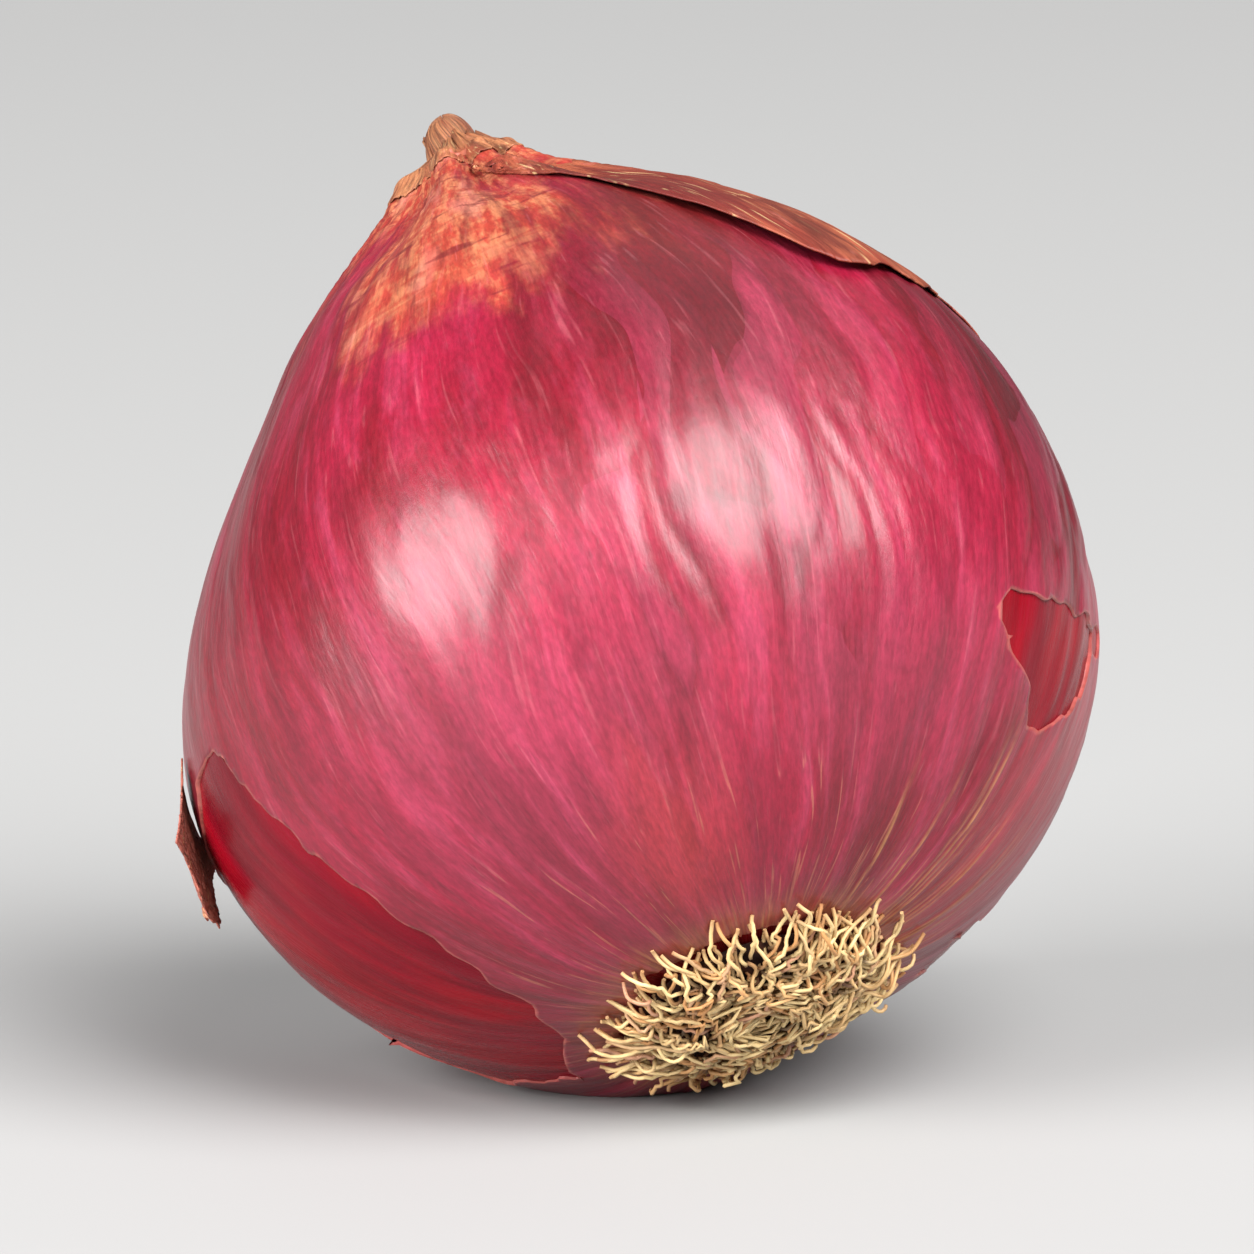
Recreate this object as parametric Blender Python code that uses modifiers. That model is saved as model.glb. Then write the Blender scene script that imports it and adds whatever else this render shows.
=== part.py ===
"""A red onion, tipped back on a small flat spot so that its root end looks forward and down.

Lengths are in metres, +Z is up and the origin is the middle of the flat spot. The onion is shaped
upright in its own frame, root end down and neck up, and then leaned into its resting pose.
Longitude runs round its own axis from the front, positive towards the right.
"""

import math
import random

import bmesh
import bpy
from mathutils import Matrix, Vector

MM = 0.001

# Driving dimensions
EQUATOR_RADIUS = 35.5 * MM
LEAN = math.radians(40.0)  # the neck leans back from upright
ROOT_HEADING = math.radians(28.0)  # the root end points right of straight ahead
EQUATOR_CENTRE = Vector((2.5, -4.6, 30.0)) * MM  # the middle of the widest ring, in the resting pose
CLEARANCE = 0.35 * MM  # between a piece and the one it lies on

# The bulb's outline from the root end to the neck, as (radius, height) in equator radii
OUTLINE = (
    (0.0, -0.715),
    (0.20, -0.725),
    (0.42, -0.69),
    (0.63, -0.585),
    (0.82, -0.41),
    (0.945, -0.20),
    (1.0, 0.03),
    (0.975, 0.27),
    (0.885, 0.50),
    (0.745, 0.71),
    (0.58, 0.90),
    (0.42, 1.04),
    (0.29, 1.15),
    (0.205, 1.23),
    (0.155, 1.29),
    (0.12, 1.325),
    (0.0, 1.33),
)
BULB_SEGMENTS = 63
BULB_RINGS = 40

# How the bulb departs from a turned shape
FULL_SHOULDER = 0.07  # how much fuller the right shoulder is
FULL_SHOULDER_LONGITUDE = math.radians(60.0)
FULL_SHOULDER_HEIGHT = 0.75
FULL_SHOULDER_SPAN = 0.42
LYING_SIDE = 0.040  # how much fuller the bulb is under its weight
LYING_SIDE_MIDDLE = Vector((0.0, 0.50, -0.66))
LYING_SIDE_SPAN = 0.32
SCALE_LOBES = ((2, 0.010, 0.4), (3, 0.012, 1.9), (5, 0.007, 4.1))  # count, swell, phase
NECK_PLEATS = 9
NECK_PLEAT_DEPTH = 0.13
NECK_PLEAT_TWIST = 1.6  # radians of turn for each equator radius of height
NECK_PLEATS_BEGIN = 0.80

# The root plate and its dried roots
PLATE_RADIUS = 9.0 * MM
PLATE_MIDDLE_DEPTH = 2.0 * MM
PLATE_RIM_DEPTH = 0.8 * MM
PLATE_SEGMENTS = 24
PLATE_RINGS = 4
ROOT_COUNT = 74
ROOT_RADIUS = 0.42 * MM
ROOT_POINTS = 7
ROOT_SIDES_RESOLUTION = 0  # a bevel of four sides
ROOT_REACH = (2.0 * MM, 5.2 * MM)
ROOT_LIFT = 3.1 * MM
ROOT_FLOOR_GAP = 0.5 * MM
ROOT_SEED = 11

# The withered leaf ends that close the neck
NECK_TOP = OUTLINE[-1][1]  # equator radii above the equator
PLUG_RADIUS = 3.2 * MM
PLUG_HEIGHT = 4.4 * MM
PLUG_TIP_RADIUS = 1.5 * MM
LEAF_THICKNESS = 0.7 * MM
LEAF_ENDS = (  # longitude, width, length and backward curl, angles in degrees
    (-35.0, 4.4 * MM, 5.6 * MM, 2.0),
    (85.0, 4.2 * MM, 5.4 * MM, 18.0),
    (200.0, 4.6 * MM, 7.4 * MM, 30.0),
)

# The loose papers: strips of the dry outer skin that stand off the bulb
PAPER_THICKNESS = 0.6 * MM

COLOURS = {
    "bulb": ((0.42, 0.045, 0.10), 0.32),
    "root_tuft": ((0.72, 0.55, 0.30), 0.85),
    "neck_leaves": ((0.55, 0.30, 0.15), 0.75),
    "shoulder_paper": ((0.58, 0.30, 0.16), 0.6),
    "side_paper": ((0.50, 0.24, 0.13), 0.6),
}


def clear_scene():
    for obj in list(bpy.data.objects):
        bpy.data.objects.remove(obj)


def new_collection(name):
    collection = bpy.data.collections.new(name)
    bpy.context.scene.collection.children.link(collection)
    return collection


def material(name):
    colour, roughness = COLOURS[name]
    made = bpy.data.materials.new(name)
    made.use_nodes = True
    shader = made.node_tree.nodes["Principled BSDF"]
    shader.inputs["Base Color"].default_value = (*colour, 1.0)
    shader.inputs["Roughness"].default_value = roughness
    shader.inputs["Metallic"].default_value = 0.0
    return made


def resting_pose():
    """From the onion's own upright frame to the frame of the surface it rests on."""
    turn = Matrix.Rotation(ROOT_HEADING, 4, "Z") @ Matrix.Rotation(-LEAN, 4, "X")
    return Matrix.Translation(EQUATOR_CENTRE) @ turn


def smooth_step(low, high, value):
    share = min(1.0, max(0.0, (value - low) / (high - low)))
    return share * share * (3.0 - 2.0 * share)


def spline(points, share):
    """A point on the smooth curve through the points, share 0 to 1 along it."""
    spans = len(points) - 1
    at = min(max(share, 0.0), 1.0) * spans
    i = min(int(at), spans - 1)
    u = at - i
    before, here = points[max(i - 1, 0)], points[i]
    there, after = points[i + 1], points[min(i + 2, spans)]
    return tuple(
        0.5 * (2 * b + (c - a) * u + (2 * a - 5 * b + 4 * c - d) * u**2 + (3 * b - a - 3 * c + d) * u**3)
        for a, b, c, d in zip(before, here, there, after)
    )


def bulb_point(share, longitude):
    """A point of the bulb's surface in its upright frame, share 0 at the root end and 1 at the neck."""
    radius, height = spline(OUTLINE, share)
    above = (height - FULL_SHOULDER_HEIGHT) / FULL_SHOULDER_SPAN
    swell = 1.0 + FULL_SHOULDER * math.exp(-above * above) * math.cos(longitude - FULL_SHOULDER_LONGITUDE)
    lobe_fade = math.sin(math.pi * min(1.0, max(0.0, (height + 0.75) / 2.0)))
    for count, size, phase in SCALE_LOBES:
        swell += size * lobe_fade * math.cos(count * longitude + phase)
    pleat = math.cos(NECK_PLEATS * (longitude + 0.25 * math.sin(2.0 * longitude)) + NECK_PLEAT_TWIST * height)
    swell += NECK_PLEAT_DEPTH * smooth_step(NECK_PLEATS_BEGIN, NECK_TOP, height) * pleat
    around = max(radius, 0.0) * swell
    place = Vector((around * math.sin(longitude), -around * math.cos(longitude), height))
    below = (place - LYING_SIDE_MIDDLE).length / LYING_SIDE_SPAN
    place += LYING_SIDE * math.exp(-below * below) * LYING_SIDE_MIDDLE.normalized()
    return place * EQUATOR_RADIUS


def bulb_normal(share, longitude):
    step = 0.002
    low, high = max(share - step, 0.0), min(share + step, 1.0)
    along = bulb_point(high, longitude) - bulb_point(low, longitude)
    across = bulb_point(share, longitude + step) - bulb_point(share, longitude - step)
    return across.cross(along).normalized()


def share_at_radius(radius):
    """How far along the outline the root end has this radius, by halving."""
    low, high = 0.0, 5.0 / (len(OUTLINE) - 1)
    for _ in range(30):
        middle = (low + high) / 2
        if spline(OUTLINE, middle)[0] * EQUATOR_RADIUS < radius:
            low = middle
        else:
            high = middle
    return high


def mesh_object(name, bm, collection, pose=None):
    mesh = bpy.data.meshes.new(name)
    bm.to_mesh(mesh)
    bm.free()
    obj = bpy.data.objects.new(name, mesh)
    if pose is not None:
        obj.matrix_world = pose
    collection.objects.link(obj)
    return obj


def spun(outline, segments):
    """A closed shell: the outline, a list of (radius, height), turned once about Z."""
    bm = bmesh.new()
    points = [bm.verts.new((radius, 0.0, height)) for radius, height in outline]
    edges = [bm.edges.new(pair) for pair in zip(points, points[1:])]
    bmesh.ops.spin(
        bm,
        geom=points + edges,
        cent=(0, 0, 0),
        axis=(0, 0, 1),
        steps=segments,
        angle=math.tau,
        use_merge=True,
    )
    bmesh.ops.remove_doubles(bm, verts=bm.verts, dist=1e-6)
    bmesh.ops.recalc_face_normals(bm, faces=bm.faces)
    return bm


def bulb(collection, pose):
    """The fleshy bulb with its skin: turned in (share, longitude), shaped, leaned and cut flat below."""
    bm = spun(
        [(max(spline(OUTLINE, i / BULB_RINGS)[0], 0.0), i / BULB_RINGS) for i in range(BULB_RINGS + 1)],
        BULB_SEGMENTS,
    )
    for vertex in bm.verts:
        longitude = math.atan2(vertex.co.x, -vertex.co.y)
        vertex.co = pose @ bulb_point(vertex.co.z, longitude)
    bmesh.ops.recalc_face_normals(bm, faces=bm.faces)
    everything = list(bm.verts) + list(bm.edges) + list(bm.faces)
    cut = bmesh.ops.bisect_plane(
        bm, geom=everything, dist=1e-6, plane_co=(0, 0, 0), plane_no=(0, 0, 1), clear_inner=True
    )
    rim = [part for part in cut["geom_cut"] if isinstance(part, bmesh.types.BMEdge)]
    bmesh.ops.holes_fill(bm, edges=rim)
    bmesh.ops.recalc_face_normals(bm, faces=bm.faces)
    obj = mesh_object("bulb", bm, collection)
    obj.data.shade_smooth()
    obj.data.set_sharp_from_angle(angle=math.radians(35))
    return obj


def off_bulb(radius, longitude, height):
    """A point this far off the root end's surface, in the upright frame."""
    share = share_at_radius(radius)
    return bulb_point(share, longitude) + bulb_normal(share, longitude) * height


def root_plate(pose):
    """The woody disc that the roots grow from, shaped to the bulb's root end and clear of it."""
    inner = [(PLATE_RADIUS * i / PLATE_RINGS, 0.0) for i in range(PLATE_RINGS + 1)]
    outer = [(radius, 1.0) for radius, _ in reversed(inner)]
    bm = spun(inner + outer, PLATE_SEGMENTS)
    for vertex in bm.verts:
        radius, longitude = vertex.co.xy.length, math.atan2(vertex.co.x, -vertex.co.y)
        rim = radius / PLATE_RADIUS
        depth = PLATE_MIDDLE_DEPTH + (PLATE_RIM_DEPTH - PLATE_MIDDLE_DEPTH) * rim**2
        vertex.co = pose @ off_bulb(radius, longitude, CLEARANCE + vertex.co.z * depth)
    bmesh.ops.recalc_face_normals(bm, faces=bm.faces)
    return bm


def root_path(number, draw):
    """The line of one dried root: up out of the plate, over, and out along the bulb with a curl."""
    ring = math.sqrt((number + 0.5) / ROOT_COUNT)
    longitude = number * math.pi * (3.0 - math.sqrt(5.0)) + draw.uniform(-0.15, 0.15)
    start = PLATE_RADIUS * 0.93 * ring
    reach = draw.uniform(*ROOT_REACH) * (0.75 + 0.35 * ring)
    curl = draw.uniform(-1.0, 1.0) * (1.5 - ring)
    wave, phase = draw.uniform(0.2, 0.6), draw.uniform(0, math.tau)
    lift = ROOT_LIFT * draw.uniform(0.6, 1.15) * (1.1 - 0.35 * ring)
    rim = start / PLATE_RADIUS
    sunk = CLEARANCE + 0.55 * (PLATE_MIDDLE_DEPTH + (PLATE_RIM_DEPTH - PLATE_MIDDLE_DEPTH) * rim**2)
    lowest = CLEARANCE + ROOT_RADIUS * 1.3
    path = []
    for i in range(ROOT_POINTS):
        along = i / (ROOT_POINTS - 1)
        radius = start + reach * along**1.2
        turn = longitude + curl * along + wave * math.sin(phase + 4.0 * along) * along * 3 * MM / max(radius, 3 * MM)
        arch = sunk + lift * math.sin(0.9 * math.pi * along**0.8) - 0.35 * sunk * along
        path.append(off_bulb(radius, turn, max(arch, lowest)))
    return path


def root_strand(number, draw, pose, collection):
    """One root as a four-sided tube along its line, bent clear of the surface it would touch."""
    curve = bpy.data.curves.new(f"root_{number:02d}", "CURVE")
    curve.dimensions = "3D"
    curve.bevel_depth = ROOT_RADIUS
    curve.bevel_resolution = ROOT_SIDES_RESOLUTION
    curve.use_fill_caps = True
    line = curve.splines.new("POLY")
    line.points.add(ROOT_POINTS - 1)
    for i, (point, place) in enumerate(zip(line.points, root_path(number, draw))):
        place = pose @ place
        place.z = max(place.z, ROOT_RADIUS + ROOT_FLOOR_GAP)
        point.co = (*place, 1.0)
        point.radius = 1.0 - 0.45 * i / (ROOT_POINTS - 1)
    tube = bpy.data.objects.new(curve.name, curve)
    collection.objects.link(tube)
    mesh = bpy.data.meshes.new_from_object(tube.evaluated_get(bpy.context.evaluated_depsgraph_get()))
    bm = bmesh.new()
    bm.from_mesh(mesh)
    bmesh.ops.remove_doubles(bm, verts=bm.verts, dist=1e-7)
    bmesh.ops.recalc_face_normals(bm, faces=bm.faces)
    bpy.data.objects.remove(tube)
    bpy.data.meshes.remove(mesh)
    return mesh_object(f"root_{number:02d}", bm, collection)


def one_shell(bm):
    """Keeps the largest shell: the inside of a sealed hollow and any loose scrap go."""
    bm.verts.ensure_lookup_table()
    unseen, shells = set(bm.verts), []
    while unseen:
        shell, edge = set(), [unseen.pop()]
        while edge:
            vertex = edge.pop()
            shell.add(vertex)
            for link in vertex.link_edges:
                other = link.other_vert(vertex)
                if other in unseen:
                    unseen.remove(other)
                    edge.append(other)
        shells.append(shell)
    largest = max(shells, key=len)
    scraps = [vertex for shell in shells if shell is not largest for vertex in shell]
    bmesh.ops.delete(bm, geom=scraps, context="VERTS")


def fused(name, core, repeats, collection):
    """The core and everything in the repeats' collection joined into one closed body."""
    body = mesh_object(name + "_core", core, collection)
    join = body.modifiers.new("join_repeats", "BOOLEAN")
    join.operation = "UNION"
    join.operand_type = "COLLECTION"
    join.collection = repeats
    mesh = bpy.data.meshes.new_from_object(body.evaluated_get(bpy.context.evaluated_depsgraph_get()))
    for obj in list(repeats.objects):
        bpy.data.objects.remove(obj)
    bpy.data.objects.remove(body)
    bpy.data.collections.remove(repeats)
    bm = bmesh.new()
    bm.from_mesh(mesh)
    bmesh.ops.remove_doubles(bm, verts=bm.verts, dist=0.0001 * MM)
    one_shell(bm)
    bmesh.ops.triangulate(bm, faces=bm.faces)
    return mesh_object(name, bm, collection)


def root_tuft(collection, pose):
    """The root plate with its mat of dried roots, one body."""
    draw = random.Random(ROOT_SEED)
    roots = new_collection("roots")
    for number in range(ROOT_COUNT):
        root_strand(number, draw, pose, roots)
    return fused("root_tuft", root_plate(pose), roots, collection)


def paper_sheet(columns, rows, place):
    """An open sheet of quads whose corners place(u, v) gives, u and v from 0 to 1."""
    bm = bmesh.new()
    bmesh.ops.create_grid(bm, x_segments=columns, y_segments=rows, size=0.5)
    for vertex in bm.verts:
        vertex.co = place(vertex.co.x + 0.5, vertex.co.y + 0.5)
    bmesh.ops.triangulate(bm, faces=bm.faces)
    return bm


def thickened(obj, thickness):
    solid = obj.modifiers.new("paper_thickness", "SOLIDIFY")
    solid.thickness = thickness
    solid.offset = 1.0
    return obj


def leaf_end(number, pose, collection):
    """One withered leaf end: a cupped blade that rises from the plug and curls outward."""
    longitude, width, length, curl = LEAF_ENDS[number]
    longitude, curl = math.radians(longitude), math.radians(curl)
    sunk = (0.10 + 0.07 * number) * PLUG_HEIGHT
    base = Vector((0.0, 0.0, NECK_TOP * EQUATOR_RADIUS + CLEARANCE + sunk))
    outward = Vector((math.sin(longitude), -math.cos(longitude), 0.0))
    sideways = Vector((math.cos(longitude), math.sin(longitude), 0.0))
    up = Vector((0.0, 0.0, 1.0))

    def place(u, v):
        bend = curl * v * v
        taper = 1.0 - 0.55 * v**1.6
        across = (u - 0.5) * width * taper
        cup = 0.16 * width * (1.0 - (2.0 * u - 1.0) ** 2) * (1.0 - 0.9 * v)
        rise = length * v * (1.0 - 0.03 * v * math.sin(5.0 * u + number))
        facing = outward * math.cos(2.4 * bend) - up * math.sin(2.4 * bend)
        lean_in = 1.2 * MM * (1.0 - 0.55 * v)
        spine = outward * (lean_in + rise * math.sin(bend)) + up * rise * math.cos(bend)
        return pose @ (base + spine + facing * cup + sideways * across)

    obj = mesh_object(f"leaf_end_{number}", paper_sheet(5, 7, place), collection)
    thickened(obj, LEAF_THICKNESS)
    mesh = bpy.data.meshes.new_from_object(obj.evaluated_get(bpy.context.evaluated_depsgraph_get()))
    bpy.data.objects.remove(obj)
    bm = bmesh.new()
    bm.from_mesh(mesh)
    bmesh.ops.recalc_face_normals(bm, faces=bm.faces)
    return mesh_object(f"leaf_end_{number}", bm, collection)


def neck_leaves(collection, pose):
    """The shrivelled plug in the neck's mouth and the withered leaf ends that stand on it."""
    leaves = new_collection("leaf_ends")
    for number in range(len(LEAF_ENDS)):
        leaf_end(number, pose, leaves)
    foot = NECK_TOP * EQUATOR_RADIUS + CLEARANCE
    bm = spun(
        [
            (0.0, foot),
            (0.92 * PLUG_RADIUS, foot),
            (PLUG_RADIUS, foot + 0.12 * PLUG_HEIGHT),
            (0.86 * PLUG_RADIUS, foot + 0.40 * PLUG_HEIGHT),
            (0.64 * PLUG_RADIUS, foot + 0.75 * PLUG_HEIGHT),
            (PLUG_TIP_RADIUS, foot + 0.96 * PLUG_HEIGHT),
            (0.0, foot + PLUG_HEIGHT),
        ],
        18,
    )
    bmesh.ops.transform(bm, matrix=pose, verts=bm.verts)
    return fused("neck_leaves", bm, leaves, collection)


def shoulder_paper(collection, pose):
    """A flap of dry skin that stands off the back shoulder, from the neck round to the right."""
    left, right = math.radians(-24.0), math.radians(112.0)

    def place(u, v):
        longitude = left + (right - left) * u
        upper = 0.820 - 0.185 * u**0.9
        lower = 0.775 - 0.275 * smooth_step(-0.05, 0.34, u) + 0.075 * smooth_step(0.55, 1.0, u)
        lower += 0.010 * math.sin(17.0 * u) + 0.006 * math.sin(37.0 * u + 1.0)
        share = upper + (lower - upper) * v
        ripple = 0.30 * MM * (1.0 + math.sin(19.0 * u + 2.5 * v)) * v
        stand_off = CLEARANCE + 0.35 * MM + 0.9 * MM * v**2 * math.sin(math.pi * u) + ripple
        return pose @ (bulb_point(share, longitude) + bulb_normal(share, longitude) * stand_off)

    obj = mesh_object("shoulder_paper", paper_sheet(34, 7, place), collection)
    return thickened(obj, PAPER_THICKNESS)


def side_paper(collection, pose):
    """A scrap of dry skin that peels off the left side, low down."""
    middle_longitude = math.radians(-120.0)

    def place(u, v):
        longitude = middle_longitude + math.radians(17.0) * (u - 0.5) * (1.0 - 0.40 * v)
        share = 0.395 + 0.020 * (u - 0.5) - 0.075 * v * (1.0 - 0.22 * math.cos(7.0 * u))
        crumple = 0.20 * MM * (1.0 + math.sin(9.0 * u + 4.0 * v)) * v
        stand_off = CLEARANCE + 0.35 * MM + 2.3 * MM * v**1.8 + crumple
        return pose @ (bulb_point(share, longitude) + bulb_normal(share, longitude) * stand_off)

    obj = mesh_object("side_paper", paper_sheet(9, 8, place), collection)
    return thickened(obj, PAPER_THICKNESS)


def main():
    clear_scene()
    onion = new_collection("red_onion")
    pose = resting_pose()
    for make in (bulb, root_tuft, neck_leaves, shoulder_paper, side_paper):
        piece = make(onion, pose)
        piece.data.materials.clear()
        piece.data.materials.append(material(piece.name))


main()
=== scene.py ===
"""A red onion, lying tipped back with its root end forward, for a studio picture.

Lengths are in metres and +Z is up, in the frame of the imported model. Every piece of the onion is
shaped in growth coordinates: longitude round the onion's own axis, from its front and positive to
the right, and share along its outline, 0 at the root end and 1 at the neck. The vector attribute
"growth" keeps them on each mesh as (sin longitude, -cos longitude, 3 x share), so that veins,
fibres and patches of colour follow the skin as they grow, with no seam round the back.
"""

import functools
import math
import types

import bmesh
import bpy
import numpy as np
from mathutils import Matrix, Vector


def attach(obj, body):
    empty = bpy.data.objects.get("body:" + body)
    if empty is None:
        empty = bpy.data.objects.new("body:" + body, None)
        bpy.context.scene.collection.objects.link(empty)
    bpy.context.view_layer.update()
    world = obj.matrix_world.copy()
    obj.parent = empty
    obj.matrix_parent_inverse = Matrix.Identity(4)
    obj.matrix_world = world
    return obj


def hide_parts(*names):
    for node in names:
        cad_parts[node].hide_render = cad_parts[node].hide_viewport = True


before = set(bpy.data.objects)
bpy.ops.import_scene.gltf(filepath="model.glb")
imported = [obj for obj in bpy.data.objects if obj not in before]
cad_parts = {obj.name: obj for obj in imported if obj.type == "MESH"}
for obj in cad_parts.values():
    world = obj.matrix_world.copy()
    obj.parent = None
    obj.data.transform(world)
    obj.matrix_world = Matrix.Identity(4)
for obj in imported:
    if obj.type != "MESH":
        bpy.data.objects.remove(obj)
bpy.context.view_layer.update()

MM = 0.001
GROWTH_RISE = 3.0

# The form, as in the source of the solids
EQUATOR_RADIUS = 35.5 * MM
LEAN = math.radians(40.0)
ROOT_HEADING = math.radians(28.0)
EQUATOR_CENTRE = Vector((2.5, -4.6, 30.0)) * MM
OUTLINE = np.array((
    (0.0, -0.715),
    (0.20, -0.725),
    (0.42, -0.69),
    (0.63, -0.585),
    (0.82, -0.41),
    (0.945, -0.20),
    (1.0, 0.03),
    (0.975, 0.27),
    (0.885, 0.50),
    (0.745, 0.71),
    (0.58, 0.90),
    (0.42, 1.04),
    (0.29, 1.15),
    (0.205, 1.23),
    (0.155, 1.29),
    (0.12, 1.325),
    (0.0, 1.33),
))
FULL_SHOULDER = 0.07
FULL_SHOULDER_LONGITUDE = math.radians(60.0)
FULL_SHOULDER_HEIGHT = 0.75
FULL_SHOULDER_SPAN = 0.42
LYING_SIDE = 0.040
LYING_SIDE_MIDDLE = np.array((0.0, 0.50, -0.66))
LYING_SIDE_SPAN = 0.32
SCALE_LOBES = ((2, 0.010, 0.4), (3, 0.012, 1.9), (5, 0.007, 4.1))
NECK_PLEATS = 9
NECK_PLEAT_DEPTH = 0.13
NECK_PLEAT_TWIST = 1.6
NECK_PLEATS_BEGIN = 0.80
NECK_TOP = OUTLINE[-1][1]
NECK_TOP_HEIGHT = NECK_TOP * EQUATOR_RADIUS

# Finer form that only the picture needs: flats between the scales below, and dents
FLATS = ((8, 0.0042, 0.9), (11, 0.0034, 2.2), (17, 0.0016, 5.0))  # number round, depth, phase
DENTS = (  # longitude, share, half width in degrees, half length in shares, depth
    (-14.0, 0.352, 2.2, 0.024, 0.13 * MM),
    (-7.0, 0.307, 2.4, 0.032, 0.26 * MM),
    (24.0, 0.400, 3.5, 0.045, 0.25 * MM),
    (31.0, 0.205, 2.0, 0.030, 0.34 * MM),
    (-62.0, 0.330, 4.0, 0.060, 0.22 * MM),
    (140.0, 0.420, 3.0, 0.050, 0.40 * MM),
    (-150.0, 0.500, 2.4, 0.040, 0.45 * MM),
)

# The outer skin and where it has torn away: each tear is an outline of (longitude, share)
OUTER_SKIN_LIFT = 0.12 * MM
ROOT_RIM = 0.088
NECK_RIM = 0.885
TEARS = (
    ((25, 0.281), (37, 0.247), (41, 0.228), (54, 0.250), (61, 0.290), (70, 0.327), (45, 0.302), (29, 0.294)),
    (
        (-112, 0.366), (-104, 0.382), (-97, 0.376), (-93, 0.342), (-91, 0.300),
        (-88, 0.244), (-91, 0.190), (-96, 0.140),
        (-116, 0.118), (-142, 0.128), (-150, 0.200), (-144, 0.300), (-130, 0.362),
    ),
    ((152, 0.360), (169, 0.330), (178, 0.420), (183, 0.560), (171, 0.600), (159, 0.520)),
    ((170, 0.640), (172, 0.640), (177, 0.780), (175, 0.800)),
    ((88, 0.155), (104, 0.140), (112, 0.200), (100, 0.235), (91, 0.210)),
)

POSE = (
    Matrix.Translation(EQUATOR_CENTRE)
    @ Matrix.Rotation(ROOT_HEADING, 4, "Z")
    @ Matrix.Rotation(-LEAN, 4, "X")
)
AXIS = POSE.to_3x3() @ Vector((0.0, 0.0, 1.0))
POSE_TURN = np.array(POSE.to_3x3())
POSE_SHIFT = np.array(POSE.translation)


def srgb(red, green, blue):
    """A colour as its linear value, from the 0 to 255 of a picture."""
    def linear(value):
        value /= 255.0
        return value / 12.92 if value <= 0.04045 else ((value + 0.055) / 1.055) ** 2.4

    return (linear(red), linear(green), linear(blue), 1.0)


# Curves and unevenness

def smooth(low, high, value):
    share = np.clip((value - low) / (high - low), 0.0, 1.0)
    return share * share * (3.0 - 2.0 * share)


def crinkle(place, pitch, seed):
    """Smooth unevenness, about -1 to 1, with roughly this distance between its bumps."""
    draw = np.random.default_rng(seed)
    total = np.zeros(place.shape[:-1])
    for _ in range(6):
        way = draw.normal(size=3)
        way /= np.linalg.norm(way)
        total += np.sin(place @ way * (math.tau / pitch) + draw.uniform(0.0, math.tau))
    return total / 3.2


def ragged(value, seed):
    """A torn edge's unevenness along its length: waves of falling size."""
    pitches = (3.1, 7.3, 17.0, 37.0, 79.0)
    return sum(np.sin(pitch * value + seed * (i + 1.7)) / (1.0 + 0.9 * i) for i, pitch in enumerate(pitches))


def grid(rows, columns):
    return np.meshgrid(rows, columns, indexing="ij")


def even(count):
    return np.linspace(0.0, 1.0, count)


def all_round(count):
    return np.linspace(-np.pi, np.pi, count, endpoint=False)


def spun(longitude, radius, height):
    """Points round the onion's own axis, longitude 0 at its front."""
    longitude, radius, height = np.broadcast_arrays(longitude, radius, height)
    return np.stack((radius * np.sin(longitude), -radius * np.cos(longitude), height), axis=-1)


# The surface of the bulb

def outline_at(share):
    """Radius and height on the smooth curve through the outline's points."""
    spans = len(OUTLINE) - 1
    at = np.clip(share, 0.0, 1.0) * spans
    i = np.minimum(at.astype(int), spans - 1)
    u = (at - i)[..., None]
    a, b = OUTLINE[np.maximum(i - 1, 0)], OUTLINE[i]
    c, d = OUTLINE[i + 1], OUTLINE[np.minimum(i + 2, spans)]
    curve = 0.5 * (2 * b + (c - a) * u + (2 * a - 5 * b + 4 * c - d) * u**2 + (3 * b - a - 3 * c + d) * u**3)
    return np.maximum(curve[..., 0], 0.0), curve[..., 1]


def turn_from(longitude, degrees):
    """The turn from a longitude in degrees, the short way round."""
    return (longitude - np.radians(degrees) + np.pi) % math.tau - np.pi


def bulb_place(share, longitude):
    """Points of the bulb's surface, upright, in metres."""
    share, longitude = np.broadcast_arrays(np.asarray(share, float), np.asarray(longitude, float))
    radius, height = outline_at(share)
    above = (height - FULL_SHOULDER_HEIGHT) / FULL_SHOULDER_SPAN
    swell = 1.0 + FULL_SHOULDER * np.exp(-above * above) * np.cos(longitude - FULL_SHOULDER_LONGITUDE)
    lobe_fade = np.sin(np.pi * np.clip((height + 0.75) / 2.0, 0.0, 1.0))
    for count, size, phase in SCALE_LOBES:
        swell = swell + size * lobe_fade * np.cos(count * longitude + phase)
    for count, size, phase in FLATS:
        bent = count * longitude + phase + 1.3 * np.sin(2.0 * height + phase)
        swell = swell + size * lobe_fade * np.cos(bent)
    pleat = np.cos(NECK_PLEATS * (longitude + 0.25 * np.sin(2.0 * longitude)) + NECK_PLEAT_TWIST * height)
    swell = swell + NECK_PLEAT_DEPTH * smooth(NECK_PLEATS_BEGIN, NECK_TOP, height) * pleat
    around = radius * swell
    place = spun(longitude, around, height)
    below = np.linalg.norm(place - LYING_SIDE_MIDDLE, axis=-1) / LYING_SIDE_SPAN
    push = LYING_SIDE_MIDDLE / np.linalg.norm(LYING_SIDE_MIDDLE)
    place = place + LYING_SIDE * np.exp(-below * below)[..., None] * push
    inward = -place / np.maximum(np.linalg.norm(place, axis=-1), 1e-6)[..., None]
    for at, level, wide, tall, depth in DENTS:
        aside = turn_from(longitude, at) / np.radians(wide) + 0.5 * (share - level) / tall
        off = aside**2 + ((share - level) / tall) ** 2
        place = place + inward * (depth / EQUATOR_RADIUS * np.exp(-off))[..., None]
    return place * EQUATOR_RADIUS


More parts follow.
